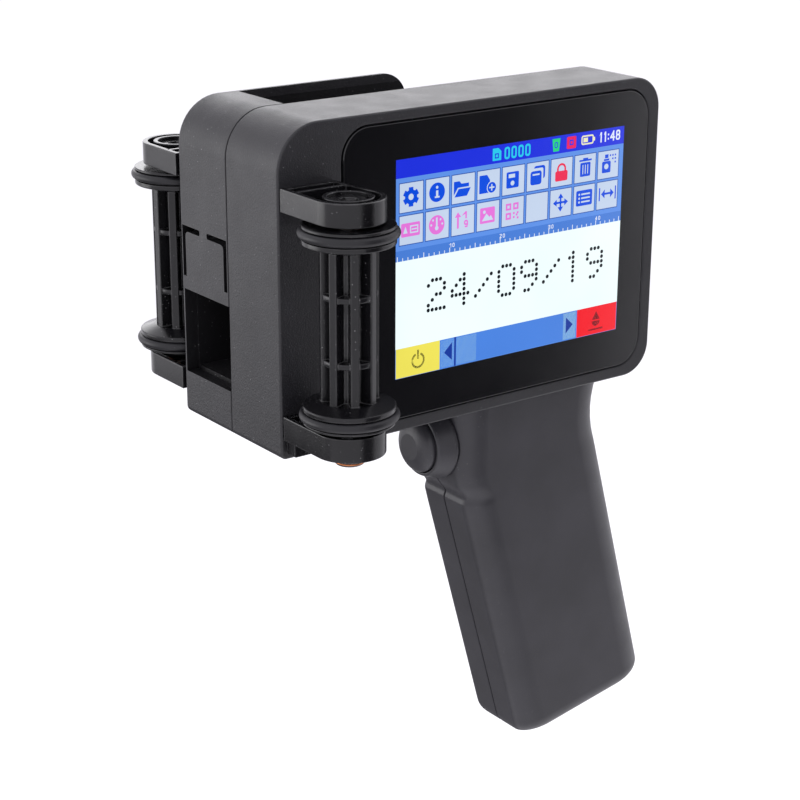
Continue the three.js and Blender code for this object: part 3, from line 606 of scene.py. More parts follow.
def rear_housing():
    rings = lip(bay_outline, SEAM, 1)
    for inset, depth in reversed(round_steps(REAR_EDGE)):
        rings.append(at_depth(bay_outline(inset), HALF - depth))
    shell = Mesh().skin(rings).object("rear_housing")
    arc = [math.radians(180 - 90 * i / 12) for i in range(13)]
    round_x, round_z = BAY_CORNERS[0], HEIGHT - BAY_CORNERS[0]
    inner = BAY_CORNERS[0] - WALL
    hollow = [(WALL, BAY_DECK)]
    hollow += [(round_x + inner * math.cos(a), round_z + inner * math.sin(a)) for a in arc]
    hollow += [(PAST_BAY, HEIGHT - WALL), (PAST_BAY, BAY_DECK)]
    cut(
        shell,
        Mesh().slab(hollow, -1, BAY_BACK),
        Mesh().block(BAY_BRIDGE, PAST_BAY, -1, BAY_BACK, BAY_DECK + 10, HEIGHT + 2),
        Mesh().block(-1, WALL + 1, -1, WINDOW_BACK, WINDOW_LOW, WINDOW_HIGH),
        slot_cutter(0.5, 9.2),
        slot_cutter(20.3, 12.4),
    )
    saddle = [(SEAM, 0), (13, 0), (13, 7), (3, 22), (SEAM, 22)]
    join(shell, Mesh().beam(saddle, SADDLE_LEFT, SADDLE_RIGHT))
    for x in SADDLE_SCREWS:
        cut(shell, Mesh().lathe([(2.8, 10.8), (2.8, 14)], "Y", (x, 0, 4.6), 48))
    finish_piece(shell, SHELL, "rear_shell", bevel=0.25)
    shade_bay_inside(shell)


def shade_bay_inside(shell):
    """Gives the bay's inner faces a darker colour, painted shade for the recess, with a coarser grain."""
    shell.data.materials.append(BAY_SHADED_SKIN)
    low = at(0.3, -1, WINDOW_LOW - 0.2)
    high = at(BAY_LENGTH, WINDOW_BACK + 0.3, HEIGHT - WALL + 0.1)
    radius = BAY_CORNERS[0]
    bend = at(radius, 0, HEIGHT - radius)
    reach = (radius - WALL + 0.3) * MM
    for polygon in shell.data.polygons:
        centre = polygon.center
        in_corner = centre.x < bend.x and centre.z > bend.z
        if in_corner and math.hypot(centre.x - bend.x, centre.z - bend.z) > reach:
            continue
        if all(low[k] < centre[k] < high[k] for k in range(3)):
            polygon.material_index = 1


def bay_wall():
    """Plate that closes the front shell and is the bay's front wall."""
    plate = Mesh().slab(body_outline(WALL + GAP), -2.1, -SEAM).object("bay_wall")
    for x, z in PARTITION_SCREWS:
        cut(plate, Mesh().lathe([(1.5, -4), (1.5, -1.6), (2.8, -0.2), (2.8, 1)], "Y", (x, 0, z), 48))
    # The plate's darker colour is painted shade inside the bay.
    finish_piece(plate, BAY_SHADED_SKIN, "partition_plate", bevel=0.12)


def power_cap():
    corners = [(0, 110.2, 0), (4.4, 110.2, 0.1), (4.4, 111.4, 0.1), (3.4, 111.4, 0)]
    corners += [(3.4, 114.9, 0.5), (2.6, 114.9, 0.2), (2.2, 114.7, 0.2), (0, 114.7, 0)]
    profile = [(max(radius, 0.01), x) for radius, x in filleted(corners, 4)]
    cap = Mesh().lathe(profile, "X", POWER_KEY, 64).object("power_cap")
    finish_piece(cap, SATIN, "power_button", "power_key")


def contact_parts():
    block = Mesh().block(8, 22, SEAM, 3.0, 18, 46).object("contact_block_body")
    finish_piece(block, SATIN, "contact_block", bevel=0.35)
    pins = Mesh()
    for x in (11, 15, 19):
        for row in range(6):
            profile = [(0.6, 2.8), (0.6, 3.9), (0.45, 4.1), (0.2, 4.2)]
            pins.lathe(profile, "Y", (x, 0, 21.5 + 4.2 * row), 20)
    finish_piece(pins.object("contact_pins"), GOLD)


def leaf_spring():
    """Bowed strip that presses the cartridge forward."""
    steps = 40
    line = []
    for i in range(steps + 1):
        t = i / steps
        line.append((26 + 28 * t, BAY_BACK - GAP - 0.6 - 3.4 * math.sin(math.pi * t) ** 2))
    outline = line + [(x, y + 0.6) for x, y in reversed(line)]
    strip = Mesh().prism(outline, 34, 44).object("leaf_spring")
    finish_piece(strip, STEEL, "cartridge_spring", bevel=0.12)


# ---- display ----------------------------------------------------------------------------------
class Layer:
    """Flat artwork of one colour on the display, drawn on its 320 by 240 grid with v downwards."""

    every = []

    def __init__(self, name, colour, level, strength=1.0):
        Layer.every.append(self)
        self.name = name
        self.material = lit(name, colour, strength)
        self.y = GLASS_FACE - 0.008 * (level + 1)
        self.mesh = Mesh()

    def poly(self, points):
        place = [(SCREEN_LEFT + u * SCREEN_UNIT, self.y, SCREEN_TOP - v * SCREEN_UNIT) for u, v in points]
        self.mesh.flat(place)
        return self

    def rect(self, u0, v0, u1, v1, radius=0.0):
        return self.poly(soft_box(u0, v0, u1, v1, radius, 4))

    def disc(self, u, v, radius, steps=28):
        angles = [2 * math.pi * i / steps for i in range(steps)]
        return self.poly([(u + radius * math.cos(a), v + radius * math.sin(a)) for a in angles])

    def arc(self, u, v, inner, outer, start=0, end=360, steps=32):
        """Ring sector, with angles in degrees anticlockwise from the right."""
        for i in range(steps):
            corners = []
            for k, radius in ((i, inner), (i, outer), (i + 1, outer), (i + 1, inner)):
                a = math.radians(start + (end - start) * k / steps)
                corners.append((u + radius * math.cos(a), v - radius * math.sin(a)))
            self.poly(corners)
        return self

    def line(self, u0, v0, u1, v1, width=2.0):
        along = Vector((u1 - u0, v1 - v0)).normalized() * width / 2
        side = Vector((-along.y, along.x))
        a, b = Vector((u0, v0)), Vector((u1, v1))
        return self.poly([tuple(a + side), tuple(b + side), tuple(b - side), tuple(a - side)])

    def frame(self, u0, v0, u1, v1, width):
        self.rect(u0, v0, u1, v0 + width)
        self.rect(u0, v1 - width, u1, v1)
        self.rect(u0, v0 + width, u0 + width, v1 - width)
        return self.rect(u1 - width, v0 + width, u1, v1 - width)

    def ring(self, u0, v0, u1, v1, stroke, radius):
        """Rounded frame with an even stroke."""
        outer = soft_box(u0, v0, u1, v1, radius)
        inner = soft_box(u0 + stroke, v0 + stroke, u1 - stroke, v1 - stroke, radius * 0.4)
        count = len(outer)
        for i in range(count):
            j = (i + 1) % count
            self.poly([outer[i], outer[j], inner[j], inner[i]])
        return self

    def digit(self, value, u, v, width, height, stroke):
        """Small plain figure, rounded where a written figure is round."""
        right, foot, middle = u + width, v + height, v + height * 0.48
        soft = width * 0.42
        if value == 0:
            self.ring(u, v, right, foot, stroke, soft)
        elif value == 1:
            self.rect(right - stroke, v, right, foot)
            self.poly([(right - stroke, v), (right - stroke, v + stroke * 1.5), (u, v + stroke * 2.2)])
        elif value == 2:
            self.rect(u, v, right, v + stroke, stroke / 2).rect(right - stroke, v, right, middle)
            self.line(right - stroke, middle - stroke, u + stroke, foot - stroke, stroke)
            self.rect(u, foot - stroke, right, foot)
        elif value == 3:
            for level in (v, middle - stroke / 2, foot - stroke):
                self.rect(u, level, right, level + stroke, stroke / 2)
            self.rect(right - stroke, v, right, foot, stroke / 2)
        elif value == 4:
            self.rect(right - stroke * 1.6, v, right - stroke * 0.6, foot)
            self.line(right - stroke, v + stroke / 2, u + stroke / 2, middle + stroke, stroke)
            self.rect(u, middle + stroke * 0.6, right, middle + stroke * 1.6)
        elif value == 8:
            self.ring(u + 0.2, v, right - 0.2, middle + stroke / 2, stroke, soft * 0.8)
            self.ring(u, middle - stroke / 2, right, foot, stroke, soft)
        else:
            self.ring(u, v, right, middle + stroke, stroke, soft)
            self.rect(right - stroke, middle, right, foot - stroke, 0)
            self.rect(u + stroke * 0.6, foot - stroke, right - stroke * 0.3, foot, stroke * 0.4)
        return self

    def done(self):
        obj = self.mesh.object(self.name)
        obj.data.materials.append(self.material)
        for polygon in obj.data.polygons:
            if polygon.normal.y > 0:
                polygon.flip()
        obj.visible_glossy = False
        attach(obj, "housing")


COLUMNS = [4.8 + 34.7 * i for i in range(9)]
ROWS = (26, 61)
CELL = (30.6, 31)


def dot_matrix(layer):
    """A date in 5 by 7 dots, as the printer lays it down."""
    glyphs = {
        "2": (".###.", "#...#", "....#", "..##.", ".#...", "#....", "#####"),
        "4": ("...#.", "..##.", ".#.#.", "#..#.", "#####", "...#.", "...#."),
        "0": (".###.", "#...#", "#...#", "#...#", "#...#", "#...#", ".###."),
        "9": (".###.", "#...#", "#...#", ".####", "....#", "...#.", ".##.."),
        "1": ("..#..", ".##..", "..#..", "..#..", "..#..", "..#..", "..#.."),
        "/": (".....", "....#", "...#.", "..#..", ".#...", "#....", "....."),
    }
    pitch = 5.42
    for place, mark in enumerate("24/09/19"):
        for row, line in enumerate(glyphs[mark]):
            for column, state in enumerate(line):
                if state == "#":
                    u = 43.7 + (place * 6 + column) * pitch
                    layer.disc(u, 136.8 + row * 5.5, 2.25, 12)


def top_row_icons(blue, red, pale, over, fine):
    gear_u, gear_v = 19.6, 41.3
    blue.disc(gear_u, gear_v, 8)
    for i in range(6):
        a = math.radians(60 * i + 30)
        du, dv = math.cos(a), math.sin(a)
        blue.line(gear_u + 5 * du, gear_v + 5 * dv, gear_u + 10.4 * du, gear_v + 10.4 * dv, 6)
    pale.disc(gear_u, gear_v, 3.4)
    blue.disc(54, 41, 10.5)
    pale.disc(54, 35.6, 1.6).rect(52.6, 39, 55.6, 46).rect(51, 45.2, 57.4, 47)
    blue.poly([(76.5, 33), (84, 33), (87, 36), (97, 36), (97, 40), (82, 40), (76.5, 48)])
    blue.poly([(83, 41.5), (99.5, 41.5), (94.5, 50), (77.5, 50)])
    blue.rect(111.3, 31, 122, 51, 1).poly([(122, 31), (122, 51), (126, 51), (126, 37)])
    pale.disc(128.6, 45.5, 6.9)
    over.disc(128.6, 45.5, 5.9)
    fine.rect(125, 44.7, 132.2, 46.3).rect(127.8, 41.9, 129.4, 49.1)
    blue.rect(149, 32, 166.5, 50, 1.6)
    pale.rect(152, 34.4, 161, 38.6).disc(157.6, 44.6, 2.7)
    blue.rect(188, 30, 204, 45, 3)
    pale.rect(186.5, 32.6, 201.4, 48, 2).rect(182, 34.4, 200.2, 52)
    over.rect(183, 35.5, 199, 51, 3)
    fine.rect(186, 38.6, 196, 40.4)
    red.rect(219, 40, 237, 51.5, 2).arc(228, 38, 4.2, 6.6, 0, 180).rect(221.4, 38, 223.8, 42)
    red.rect(232.2, 38, 234.6, 42)
    blue.rect(254, 31.5, 272.4, 33.5).rect(259.5, 29.8, 267, 31.6).rect(255.6, 35, 270.8, 50.8, 1.4)
    for u in (259, 262.6, 266.2):
        pale.rect(u, 37.5, u + 1.2, 48)
    blue.rect(288.4, 37.6, 301.4, 50.8, 1.6).rect(292.4, 29.8, 297.6, 34).rect(291, 34.8, 299, 37)
    pale.disc(294.9, 43.6, 3.2)
    for u, v in ((300.6, 31.4), (304.4, 31.4), (308.2, 31.4), (304.4, 35.4), (308.2, 35.4), (308.2, 39.6)):
        blue.rect(u - 1, v - 1, u + 1, v + 1)


def bottom_row_icons(blue, pink, pale):
    pink.rect(6.8, 69, 31.6, 83.8, 1.4)
    pale.poly([(9.5, 80), (12.4, 72.4), (15.3, 80)]).frame(18.4, 72, 29.4, 80.6, 1.5)
    pale.rect(20.6, 75.6, 27.4, 77)
    pink.disc(54, 76.4, 10.5)
    pale.line(54, 68.4, 54, 79, 2.2).disc(54, 80, 2.4)
    for u, v in ((46.6, 76), (49, 71), (59, 71), (61.4, 76)):
        pale.disc(u, v, 1.2)
    pink.rect(81.4, 70, 84, 84.8).poly([(78.4, 72.4), (82.7, 66.8), (87, 72.4)])
    pink.digit(1, 87.6, 67, 7.2, 8, 2).digit(9, 91, 76.6, 5.6, 8.2, 1.8)
    pink.rect(113, 67, 133.6, 84.4, 1.4)
    pale.poly([(115.6, 81.6), (122, 73.6), (126, 78), (128, 76), (131.4, 81.6)]).disc(119, 71.8, 1.9)
    for u, v in ((149, 67), (159.4, 67), (149, 77.4)):
        pink.frame(u, v, u + 7.6, v + 7.6, 2.2)
    for u, v in ((159.4, 77.4), (163.4, 79.4), (159.4, 81.8), (165, 83), (164.8, 77.2)):
        pink.rect(u, v, u + 2.4, v + 2.4)
    blue.rect(226.8, 70, 229.2, 82).rect(222, 74.8, 234, 77.2)
    for du, dv in ((1, 0), (-1, 0), (0, 1), (0, -1)):
        tip = Vector((228 + 11 * du, 76 + 10.4 * dv))
        back = tip - Vector((du, dv)) * 5.4
        side = Vector((-dv, du)) * 4
        blue.poly([tuple(tip), tuple(back + side), tuple(back - side)])
    blue.rect(251, 66.4, 275, 84.2, 2)
    for v in (71, 75.4, 79.8):
        pale.disc(255.6, v, 1.3).rect(258.6, v - 0.9, 271.6, v + 0.9)
    blue.rect(285.2, 67.4, 287, 82.6).rect(309.4, 67.4, 311.2, 82.6).rect(292, 73.8, 304, 76.2)
    blue.poly([(288.6, 75), (294, 69.8), (294, 80.2)]).poly([(307.8, 75), (302.4, 69.8), (302.4, 80.2)])


def status_bar(cyan, white, green, magenta, cream, bar):
    cyan.rect(129, 3.4, 141, 17, 0.8)
    bar.poly([(136.6, 3.2), (141.4, 3.2), (141.4, 7.6)]).frame(132, 9, 137.6, 14.6, 1.3)
    for i in range(4):
        u = 145.4 + 9.7 * i
        cyan.digit(0, u, 3.6, 7.6, 13.6, 2.3)
    green.poly([(213.4, 3), (225, 3), (223.4, 17.2), (215, 17.2)])
    bar.digit(0, 216.6, 6.6, 5, 7, 1.2)
    magenta.rect(234.6, 3, 248.2, 16.6, 1.6)
    bar.frame(238.4, 6.6, 244.4, 12.8, 1.6)
    cream.ring(256, 4.2, 274.2, 14.8, 1.7, 2.6).rect(274.2, 7.4, 276.2, 11.6).rect(259, 7, 265.6, 12)
    for value, u, width in ((1, 283, 3.4), (1, 289.4, 3.4), (4, 299, 7.2), (8, 307.6, 6.6)):
        white.digit(value, u, 3.4, width, 11.6, 1.9)
    white.rect(295.4, 6.2, 297.3, 8.2).rect(295.4, 11, 297.3, 13)


def display():
    """The lit picture, in thin layers on the glass, lowest first."""
    sky = Layer("screen_field", (96, 148, 235), 0)
    paper = Layer("screen_paper", (240, 254, 255), 1, 1.05)
    bar = Layer("screen_bar", (28, 48, 226), 4)
    base = Layer("screen_title", (28, 48, 226), 1)
    edge = Layer("screen_cell_edges", (52, 92, 176), 1)
    cell = Layer("screen_cells", (200, 216, 240), 2)
    blue = Layer("screen_blue_icons", (8, 78, 226), 3)
    red = Layer("screen_red_icon", (240, 44, 84), 3)
    pink = Layer("screen_pink_icons", (232, 120, 222), 3)
    pale = Layer("screen_icon_details", (206, 221, 241), 4)
    over = Layer("screen_blue_badges", (8, 78, 226), 5)
    fine = Layer("screen_badge_details", (206, 221, 241), 6)
    cyan = Layer("screen_counter", (40, 205, 240), 3)
    white = Layer("screen_clock", (232, 240, 255), 3)
    green = Layer("screen_ink_level", (34, 214, 130), 3)
    magenta = Layer("screen_print_state", (236, 30, 96), 3)
    cream = Layer("screen_battery", (244, 240, 196), 3)
    dark = Layer("screen_dots", (14, 18, 26), 3)
    navy = Layer("screen_arrows", (24, 58, 158), 4)
    soft = Layer("screen_scroll", (140, 186, 226), 2)
    rail = Layer("screen_rail", (76, 134, 228), 2)
    yellow = Layer("screen_off_key", (242, 230, 92), 3)
    stop = Layer("screen_print_key", (250, 12, 32), 3)
    ruler = Layer("screen_ruler", (74, 128, 218), 2)

    sky.rect(0, 0, 320, 240)
    base.rect(0, 0, 320, 20)
    for u in COLUMNS:
        for v in ROWS:
            edge.rect(u - 1, v - 1, u + CELL[0] + 1, v + CELL[1] + 1)
            cell.rect(u, v, u + CELL[0], v + CELL[1])
    top_row_icons(blue, red, pale, over, fine)
    bottom_row_icons(blue, pink, pale)
    status_bar(cyan, white, green, magenta, cream, bar)
    ruler.rect(0, 98, 320, 109.6)
    for i in range(46):
        height = 3.4 if i % 5 else 5.4
        white.rect(1.5 + 7 * i, 109.6 - height, 2.5 + 7 * i, 109.6)
    for value, u in ((1, 71), (2, 141), (3, 211), (4, 281)):
        white.digit(value, u, 99.6, 3, 4.6, 0.8).digit(0, u + 4.6, 99.6, 3, 4.6, 0.8)
    paper.rect(0, 109.6, 320, 206.4)
    dot_matrix(dark)
    yellow.rect(0.6, 206.4, 60, 239.6)
    dark.arc(30.4, 223.6, 6.6, 9, 115, 425).rect(29.2, 211.6, 31.6, 222)
    rail.rect(60, 206.4, 258, 239.6)
    soft.rect(61.4, 207.4, 80, 238.6).rect(83, 207.4, 111, 238.6).rect(238, 207.4, 257, 238.6)
    navy.poly([(66, 221.8), (77, 211.4), (77, 232)]).poly([(252.4, 222), (242, 212.4), (242, 231.6)])
    navy.rect(80, 206.4, 82.4, 239.6)
    stop.rect(258.6, 206.4, 319.4, 239.6)
    dark.poly([(288, 212.6), (294, 222.6), (282, 222.6)]).arc(288, 224, 0.4, 6.2, 180, 360)
    dark.rect(277, 233, 299, 235)
    for layer in Layer.every:
        layer.done()


# ---- guide rollers ----------------------------------------------------------------------------
def arm_outline(reach, side, margin):
    radius = ARM_RADIUS - margin
    root = side * (reach - margin)
    arc = [math.pi * (1 - i / 40) for i in range(41)]
    points = [(ARM_ROOT - margin, root), (-radius, root)]
    points += [(radius * math.cos(a), -side * radius * math.sin(a)) for a in arc]
    return points


def arm_tray(heights, reach, side, centre):
    """Arm with a walled hollow in its top, and rounded rims."""
    z0, z1 = heights
    cx, cy = centre
    levels = [(0.25, z0), (0.07, z0 + 0.08), (0, z0 + 0.25)]
    levels += [(0, z1 - 0.25), (0.07, z1 - 0.08), (0.25, z1)]
    levels += [(ARM_WALL - 0.2, z1), (ARM_WALL - 0.06, z1 - 0.06)]
    levels += [(ARM_WALL, z1 - 0.2), (ARM_WALL, z0 + 1.6)]
    rings = [
        [(cx + x, cy + y, z) for x, y in arm_outline(reach, side, margin)]
        for margin, z in levels
    ]
    return Mesh().skin(rings)


def arm(end, level, heights):
    side = 1 if end == "front" else -1
    neck = 0 if end == "front" else 1.5
    centre = (AXLE_X, AXLE_Y[end])
    reach = abs(AXLE_Y[end]) - HALF - GAP - neck
    z0, z1 = heights
    cx, cy = centre
    axis = (cx, cy, 0)
    obj = arm_tray(heights, reach, side, centre).object(f"{end}_{level}_bracket")
    extra = Mesh().tube(4.6, 5.7, z0 + 1, z1, axis, 0.2)
    if level == "upper":
        boss = [(3.52, z0 + 0.1), (4.4, z0 + 1), (4.4, z1 - 1), (4.34, z1 - 0.86), (4.2, z1 - 0.8)]
        boss += [(2.2, z1 - 0.8), (2.0, z1 - 1.5), (0.4, z1 - 1.5), (0.4, z1 - 2.2), (3.52, z1 - 2.2)]
        extra.lathe(boss, "Z", axis, 80, wrap=True)
        extra.lathe([(0.5, z1 - 2.2), (0.5, z1 - 1.5)], "Z", axis, 24)
    else:
        extra.tube(3.5, 4.4, z0 + 1, z1 - 0.8, axis, 0.15)
    rib_y = cy + side * (reach - 4.7)
    rib = filleted([(-0.5, z0 + 1, 0), (0.5, z0 + 1, 0), (0.5, z1, 0.15), (-0.5, z1, 0.15)])
    extra.beam([(rib_y + y, z) for y, z in rib], cx - 7.6, cx + 5.8)
    if end == "rear":
        y = sorted((cy + side * (reach - 1), cy + side * (reach + neck)))
        extra.block(cx - 5.3, cx + 5.2, y[0], y[1], z0 + 0.8, z1 - 0.8)
    elif level == "lower":
        foot = filleted([(-7.5, 1.6, 0.3), (6.4, 1.6, 0.3), (6.4, 6, 0), (-7.5, 6, 0)])
        extra.slab([(cx + x, z) for x, z in foot], cy + reach - 3.3, cy + reach)
    cut(obj, Mesh().lathe([(3.5, z0 - 1), (3.5, z1 + 1)], "Z", axis, 80))
    put_in(obj, extra)
    finish_piece(obj, SATIN, f"{end}_{level}_arm")


def put_in(obj, extra):
    """Puts another mesh into obj, as it is."""
    bm = bmesh.new()
    bm.from_mesh(obj.data)
    bm.from_mesh(extra.data("extra"))
    bm.to_mesh(obj.data)
    bm.free()


def flange_profile():
    """(radius, height) of the lower flange: a groove for the ring, then a shallow cone."""
    corners = [
        (2.05, 0, 0), (10.5, 0, 0.25), (10.5, 0.6, 0.12), (9.0, 0.6, 0.1), (9.0, 3.1, 0.1),
        (10.5, 3.1, 0.12), (10.5, 4.2, 0.3), (6.95, 5.4, 0.3), (2.05, 5.4, 0),
    ]
    return filleted(corners, 4)


def roller(end, phase):
    cx, cy = AXLE_X, AXLE_Y[end]
    length = ROLLER_TOP - ROLLER_BOTTOM
    body = f"{end}_roller_body"
    mesh = Mesh()
    profile = flange_profile()
    axis = (cx, cy, 0)
    mesh.lathe(profile, "Z", (cx, cy, ROLLER_BOTTOM), 112, wrap=True)
    mesh.lathe([(r, -h) for r, h in profile], "Z", (cx, cy, ROLLER_TOP), 112, wrap=True)
    mesh.tube(2.05, 3.7, ROLLER_BOTTOM + 1, ROLLER_TOP - 1, axis, 0.05, 64)
    for tier in (0.32, 0.65):
        z = ROLLER_BOTTOM + length * tier
        mesh.tube(3.3, 6.2, z - 0.65, z + 0.65, axis, 0.25)
    low, high = ROLLER_BOTTOM + 4.2, ROLLER_TOP - 4.2
    rib = filleted([(3.2, -1, 0), (6.55, -1, 0.3), (6.55, 1, 0.3), (3.2, 1, 0)], 4)
    for i in range(RIBS):
        a = math.radians(phase + 360 / RIBS * i)
        c, s = math.cos(a), math.sin(a)
        mesh.prism([(cx + x * c - y * s, cy + x * s + y * c) for x, y in rib], low, high)
    core = mesh.object(f"{end}_roller_moulding")
    finish_piece(core, SATIN, f"{end}_roller", body)
    for level, z in (("lower", ROLLER_BOTTOM + GROOVE), ("upper", ROLLER_TOP - GROOVE)):
        ring = Mesh().torus(10.3, 1.05, (cx, cy, z)).object(f"{end}_{level}_ring")
        finish_piece(ring, RUBBER, f"{end}_{level}_oring", body, angle=60)


def axle(end):
    axis = (AXLE_X, AXLE_Y[end], 0)
    body = f"{end}_roller_body"
    bottom = 3.9 if end == "front" else 5.4
    profile = [(1.8, bottom), (2.0, bottom + 0.2), (2.0, 61.1), (1.8, 61.3)]
    shaft = Mesh().lathe(profile, "Z", axis, 48).object(f"{end}_axle")
    finish_piece(shaft, STEEL, f"{end}_shaft", body)
    upper = Mesh().tube(2.08, 3.2, 58.3, 61.2, axis, 0.2, 64)
    finish_piece(upper.object(f"{end}_upper_bearing"), BRONZE, f"{end}_upper_bush")
    if end == "front":
        corners = [(2.08, 3.9, 0.1), (3.9, 3.9, 0.2), (3.9, 4.7, 0.1)]
        corners += [(3.2, 4.7, 0.05), (3.2, 10.1, 0.2), (2.08, 10.1, 0.1)]
    else:
        corners = [(2.08, 5.4, 0.1), (3.2, 5.4, 0.2), (3.2, 11.0, 0.05)]
        corners += [(3.9, 11.0, 0.1), (3.9, 11.8, 0.2), (2.08, 11.8, 0.1)]
    lower = Mesh().lathe(filleted(corners, 3), "Z", axis, 64, wrap=True)
    finish_piece(lower.object(f"{end}_lower_bearing"), BRONZE, f"{end}_lower_bush")


def axle_cap():
    profile = [(0.9, 2.35), (0.95, 2.2), (2.9, 2.2), (3.15, 2.25), (3.5, 2.6), (3.6, 2.85), (3.6, 3.6)]
    cap = Mesh().lathe(profile, "Z", (AXLE_X, AXLE_Y["front"], 0), 64).object("axle_end_cap")
    finish_piece(cap, SATIN, "front_shaft_cap", "front_roller_body")
    washer = Mesh().torus(3.42, 0.26, (AXLE_X, AXLE_Y["front"], 2.95)).object("axle_cap_washer")
    finish_piece(washer, BRONZE, body="front_roller_body", angle=60)


# ---- handle -----------------------------------------------------------------------------------
FRONT_LINE = ((61, 1), (61, -22), (61.8, -25.5), (64.6, -29.2), (63.8, -30.8))
REAR_LINE = (
    (110.5, 1), (110.5, 0), (108.8, -5), (107.7, -9.5), (107.6, -14), (107.9, -16.4), (108.4, -18.8),
    (109.2, -20.9),
)


def line_at(line, across, z):
    """Point at height z on an outline of (x, z) points that runs on down the raked handle."""
    end = on_handle(across, 100)
    points = [*line, (end.x, end.z)]
    for (x0, z0), (x1, z1) in zip(points, points[1:]):
        if z >= z1:
            return Vector((x0 + (x1 - x0) * (z0 - z) / (z0 - z1), 0, z))
    return end


def handle_stations(top_z, shorter):
    """(front, rear) points of the handle's sections: level down to the ledge, then square to it."""
    short = GRIP_ROUND + shorter
    levels = [top_z, -3.5, -6, -9, -12, -15, -18, -20, *(-21.5 - 0.6 * i for i in range(18))]
    stations = [(line_at(FRONT_LINE, 0, z), line_at(REAR_LINE, GRIP_WIDTH, z)) for z in levels]
    first = stations[-1]
    last = (on_handle(0, GRIP_FRONT_END - short), on_handle(GRIP_WIDTH, GRIP_REAR_END - short))
    for i in range(1, 9):
        stations.append(tuple(a.lerp(b, i / 8) for a, b in zip(first, last)))
    inner = [
        tuple((a * 0.25 + b * 0.5 + c * 0.25) for a, b, c in zip(before, here, after))
        for before, here, after in zip(stations, stations[1:], stations[2:])
    ]
    return [stations[0], *inner, stations[-1]]


def half_section(front, rear, side, inset, seam=SEAM):
    """Closed section of one half: flat front, wide shoulder, round back, flat joint."""
    width = (rear - front).length - 2 * inset
    direction = (rear - front).normalized()
    start = front + direction * inset
    half = GRIP_HALF - inset
    flat = max(GRIP_FLAT - inset, 0.5)
    back_flat = max(GRIP_BACK_FLAT - inset, 0.5)
    steps = 14
    outline = [(0.35, seam), (0.1, seam + 0.1), (0, seam + 0.35)]
    for i in range(steps + 1):
        a = math.pi / 2 * i / steps
        outline.append((GRIP_SHOULDER * (1 - math.cos(a)), flat + (half - flat) * math.sin(a)))
    for i in range(steps, -1, -1):
        a = math.pi / 2 * i / steps
        along = width - GRIP_BACK_ROUND * (1 - math.cos(a))
        outline.append((along, back_flat + (half - back_flat) * math.sin(a)))
    outline += [(width, seam + 0.35), (width - 0.1, seam + 0.1), (width - 0.35, seam)]
    ring = []
    for across, y in outline:
        point = start + direction * across
        ring.append((point.x, side * y, point.z))
    return ring


def handle_half(end):
    side = -1 if end == "front" else 1
    stations = handle_stations(-GAP, 0)
    rings = [half_section(front, rear, side, 0) for front, rear in stations]
    front, rear = stations[-1]
    for i in range(1, 9):
        a = math.pi / 2 * i / 8
        inset = 3.5 * (1 - math.cos(a))
        down = ALONG * GRIP_ROUND * math.sin(a)
        rings.append(half_section(front + down, rear + down, side, inset))
    obj = Mesh().skin(rings).object(f"grip_{end}_half")
    hollow = [half_section(f, r, side, WALL, -1) for f, r in handle_stations(1, 3.5)]
    cut(obj, Mesh().skin(hollow))
    bosses, bores = [], []
    for place in HANDLE_SCREWS:
        p = on_handle(*place)
        inner, outer = sorted((side * SEAM, side * (GRIP_HALF - 1)))
        bosses.append(Mesh().lathe([(3.1, inner), (3.1, outer)], "Y", (p.x, 0, p.z), 40))
        if end == "rear":
            profile = [(1.5, -1), (1.5, 8.8), (2.7, 8.8), (2.7, 14)]
        else:
            profile = [(1.5, -9.5), (1.5, 1)]
        bores.append(Mesh().lathe(profile, "Y", (p.x, 0, p.z), 40))
    join(obj, *bosses)
    cut(obj, *bores, Mesh().lathe([(9.3, 50), (9.3, 72)], "X", TRIGGER_AXIS, 112))
    finish_piece(obj, GRIP, f"handle_{end}_half")


# ---- trigger ----------------------------------------------------------------------------------
def trigger():
    """Collar with its flared rim, and the domed button in it."""
    collar = [
        (7.4, 55.6, 0.15), (8.1, 55.6, 0.3), (8.4, 56.1, 0.3), (9.8, 60.2, 0.2), (9.8, 60.85, 0.15),
        (9.0, 60.85, 0.05), (9.0, 71.5, 0.1), (7.4, 71.5, 0), (7.4, 68.6, 0), (2.15, 68.6, 0),
        (2.15, 67, 0), (7.4, 67, 0),
    ]
    ring = Mesh().lathe(filleted(collar, 4), "X", TRIGGER_AXIS, 112, wrap=True).object("trigger_bezel")
    finish_piece(ring, GRIP, "trigger_collar")
    profile = [(0.4, 52.5)]
    land = 29  # degrees up the dome where its tip is cut flat
    for i in range(15):
        a = math.radians(land + (90 - land) * i / 14)
        profile.append((7.1 * math.sin(a), 55.3 - 2.8 * math.cos(a) / math.cos(math.radians(land))))
    profile += [(7.1, 60), (2.0, 60), (2.0, 71), (0.4, 71)]
    dome = Mesh().lathe(profile, "X", TRIGGER_AXIS, 112).object("trigger_dome")
    finish_piece(dome, GRIP, "trigger_button", "trigger", angle=9)


def return_spring():
    """Coil behind the trigger, its end turns closed."""
    front, back, wire, mean = 60.3, 66.7, 0.35, 4.6
    closed, turns = 0.72, 5
    active = (back - front - 2 * wire - 2 * closed) / (turns - 2)
    rings = []
    for i in range(48 * turns + 1):
        turned = i / 48
        x = front + wire + closed * min(turned, 1)
        x += active * max(0, min(turned - 1, turns - 2)) + closed * max(0, turned - turns + 1)
        a = 2 * math.pi * turned
        ring = []
        for j in range(14):
            b = 2 * math.pi * j / 14
            out = mean + wire * math.cos(b)
            ring.append((x + wire * math.sin(b), out * math.cos(a), TRIGGER_Z + out * math.sin(a)))
        rings.append(ring)
    coil = Mesh().skin(rings).object("trigger_coil")
    finish_piece(coil, STEEL, "trigger_spring")
    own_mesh(coil)


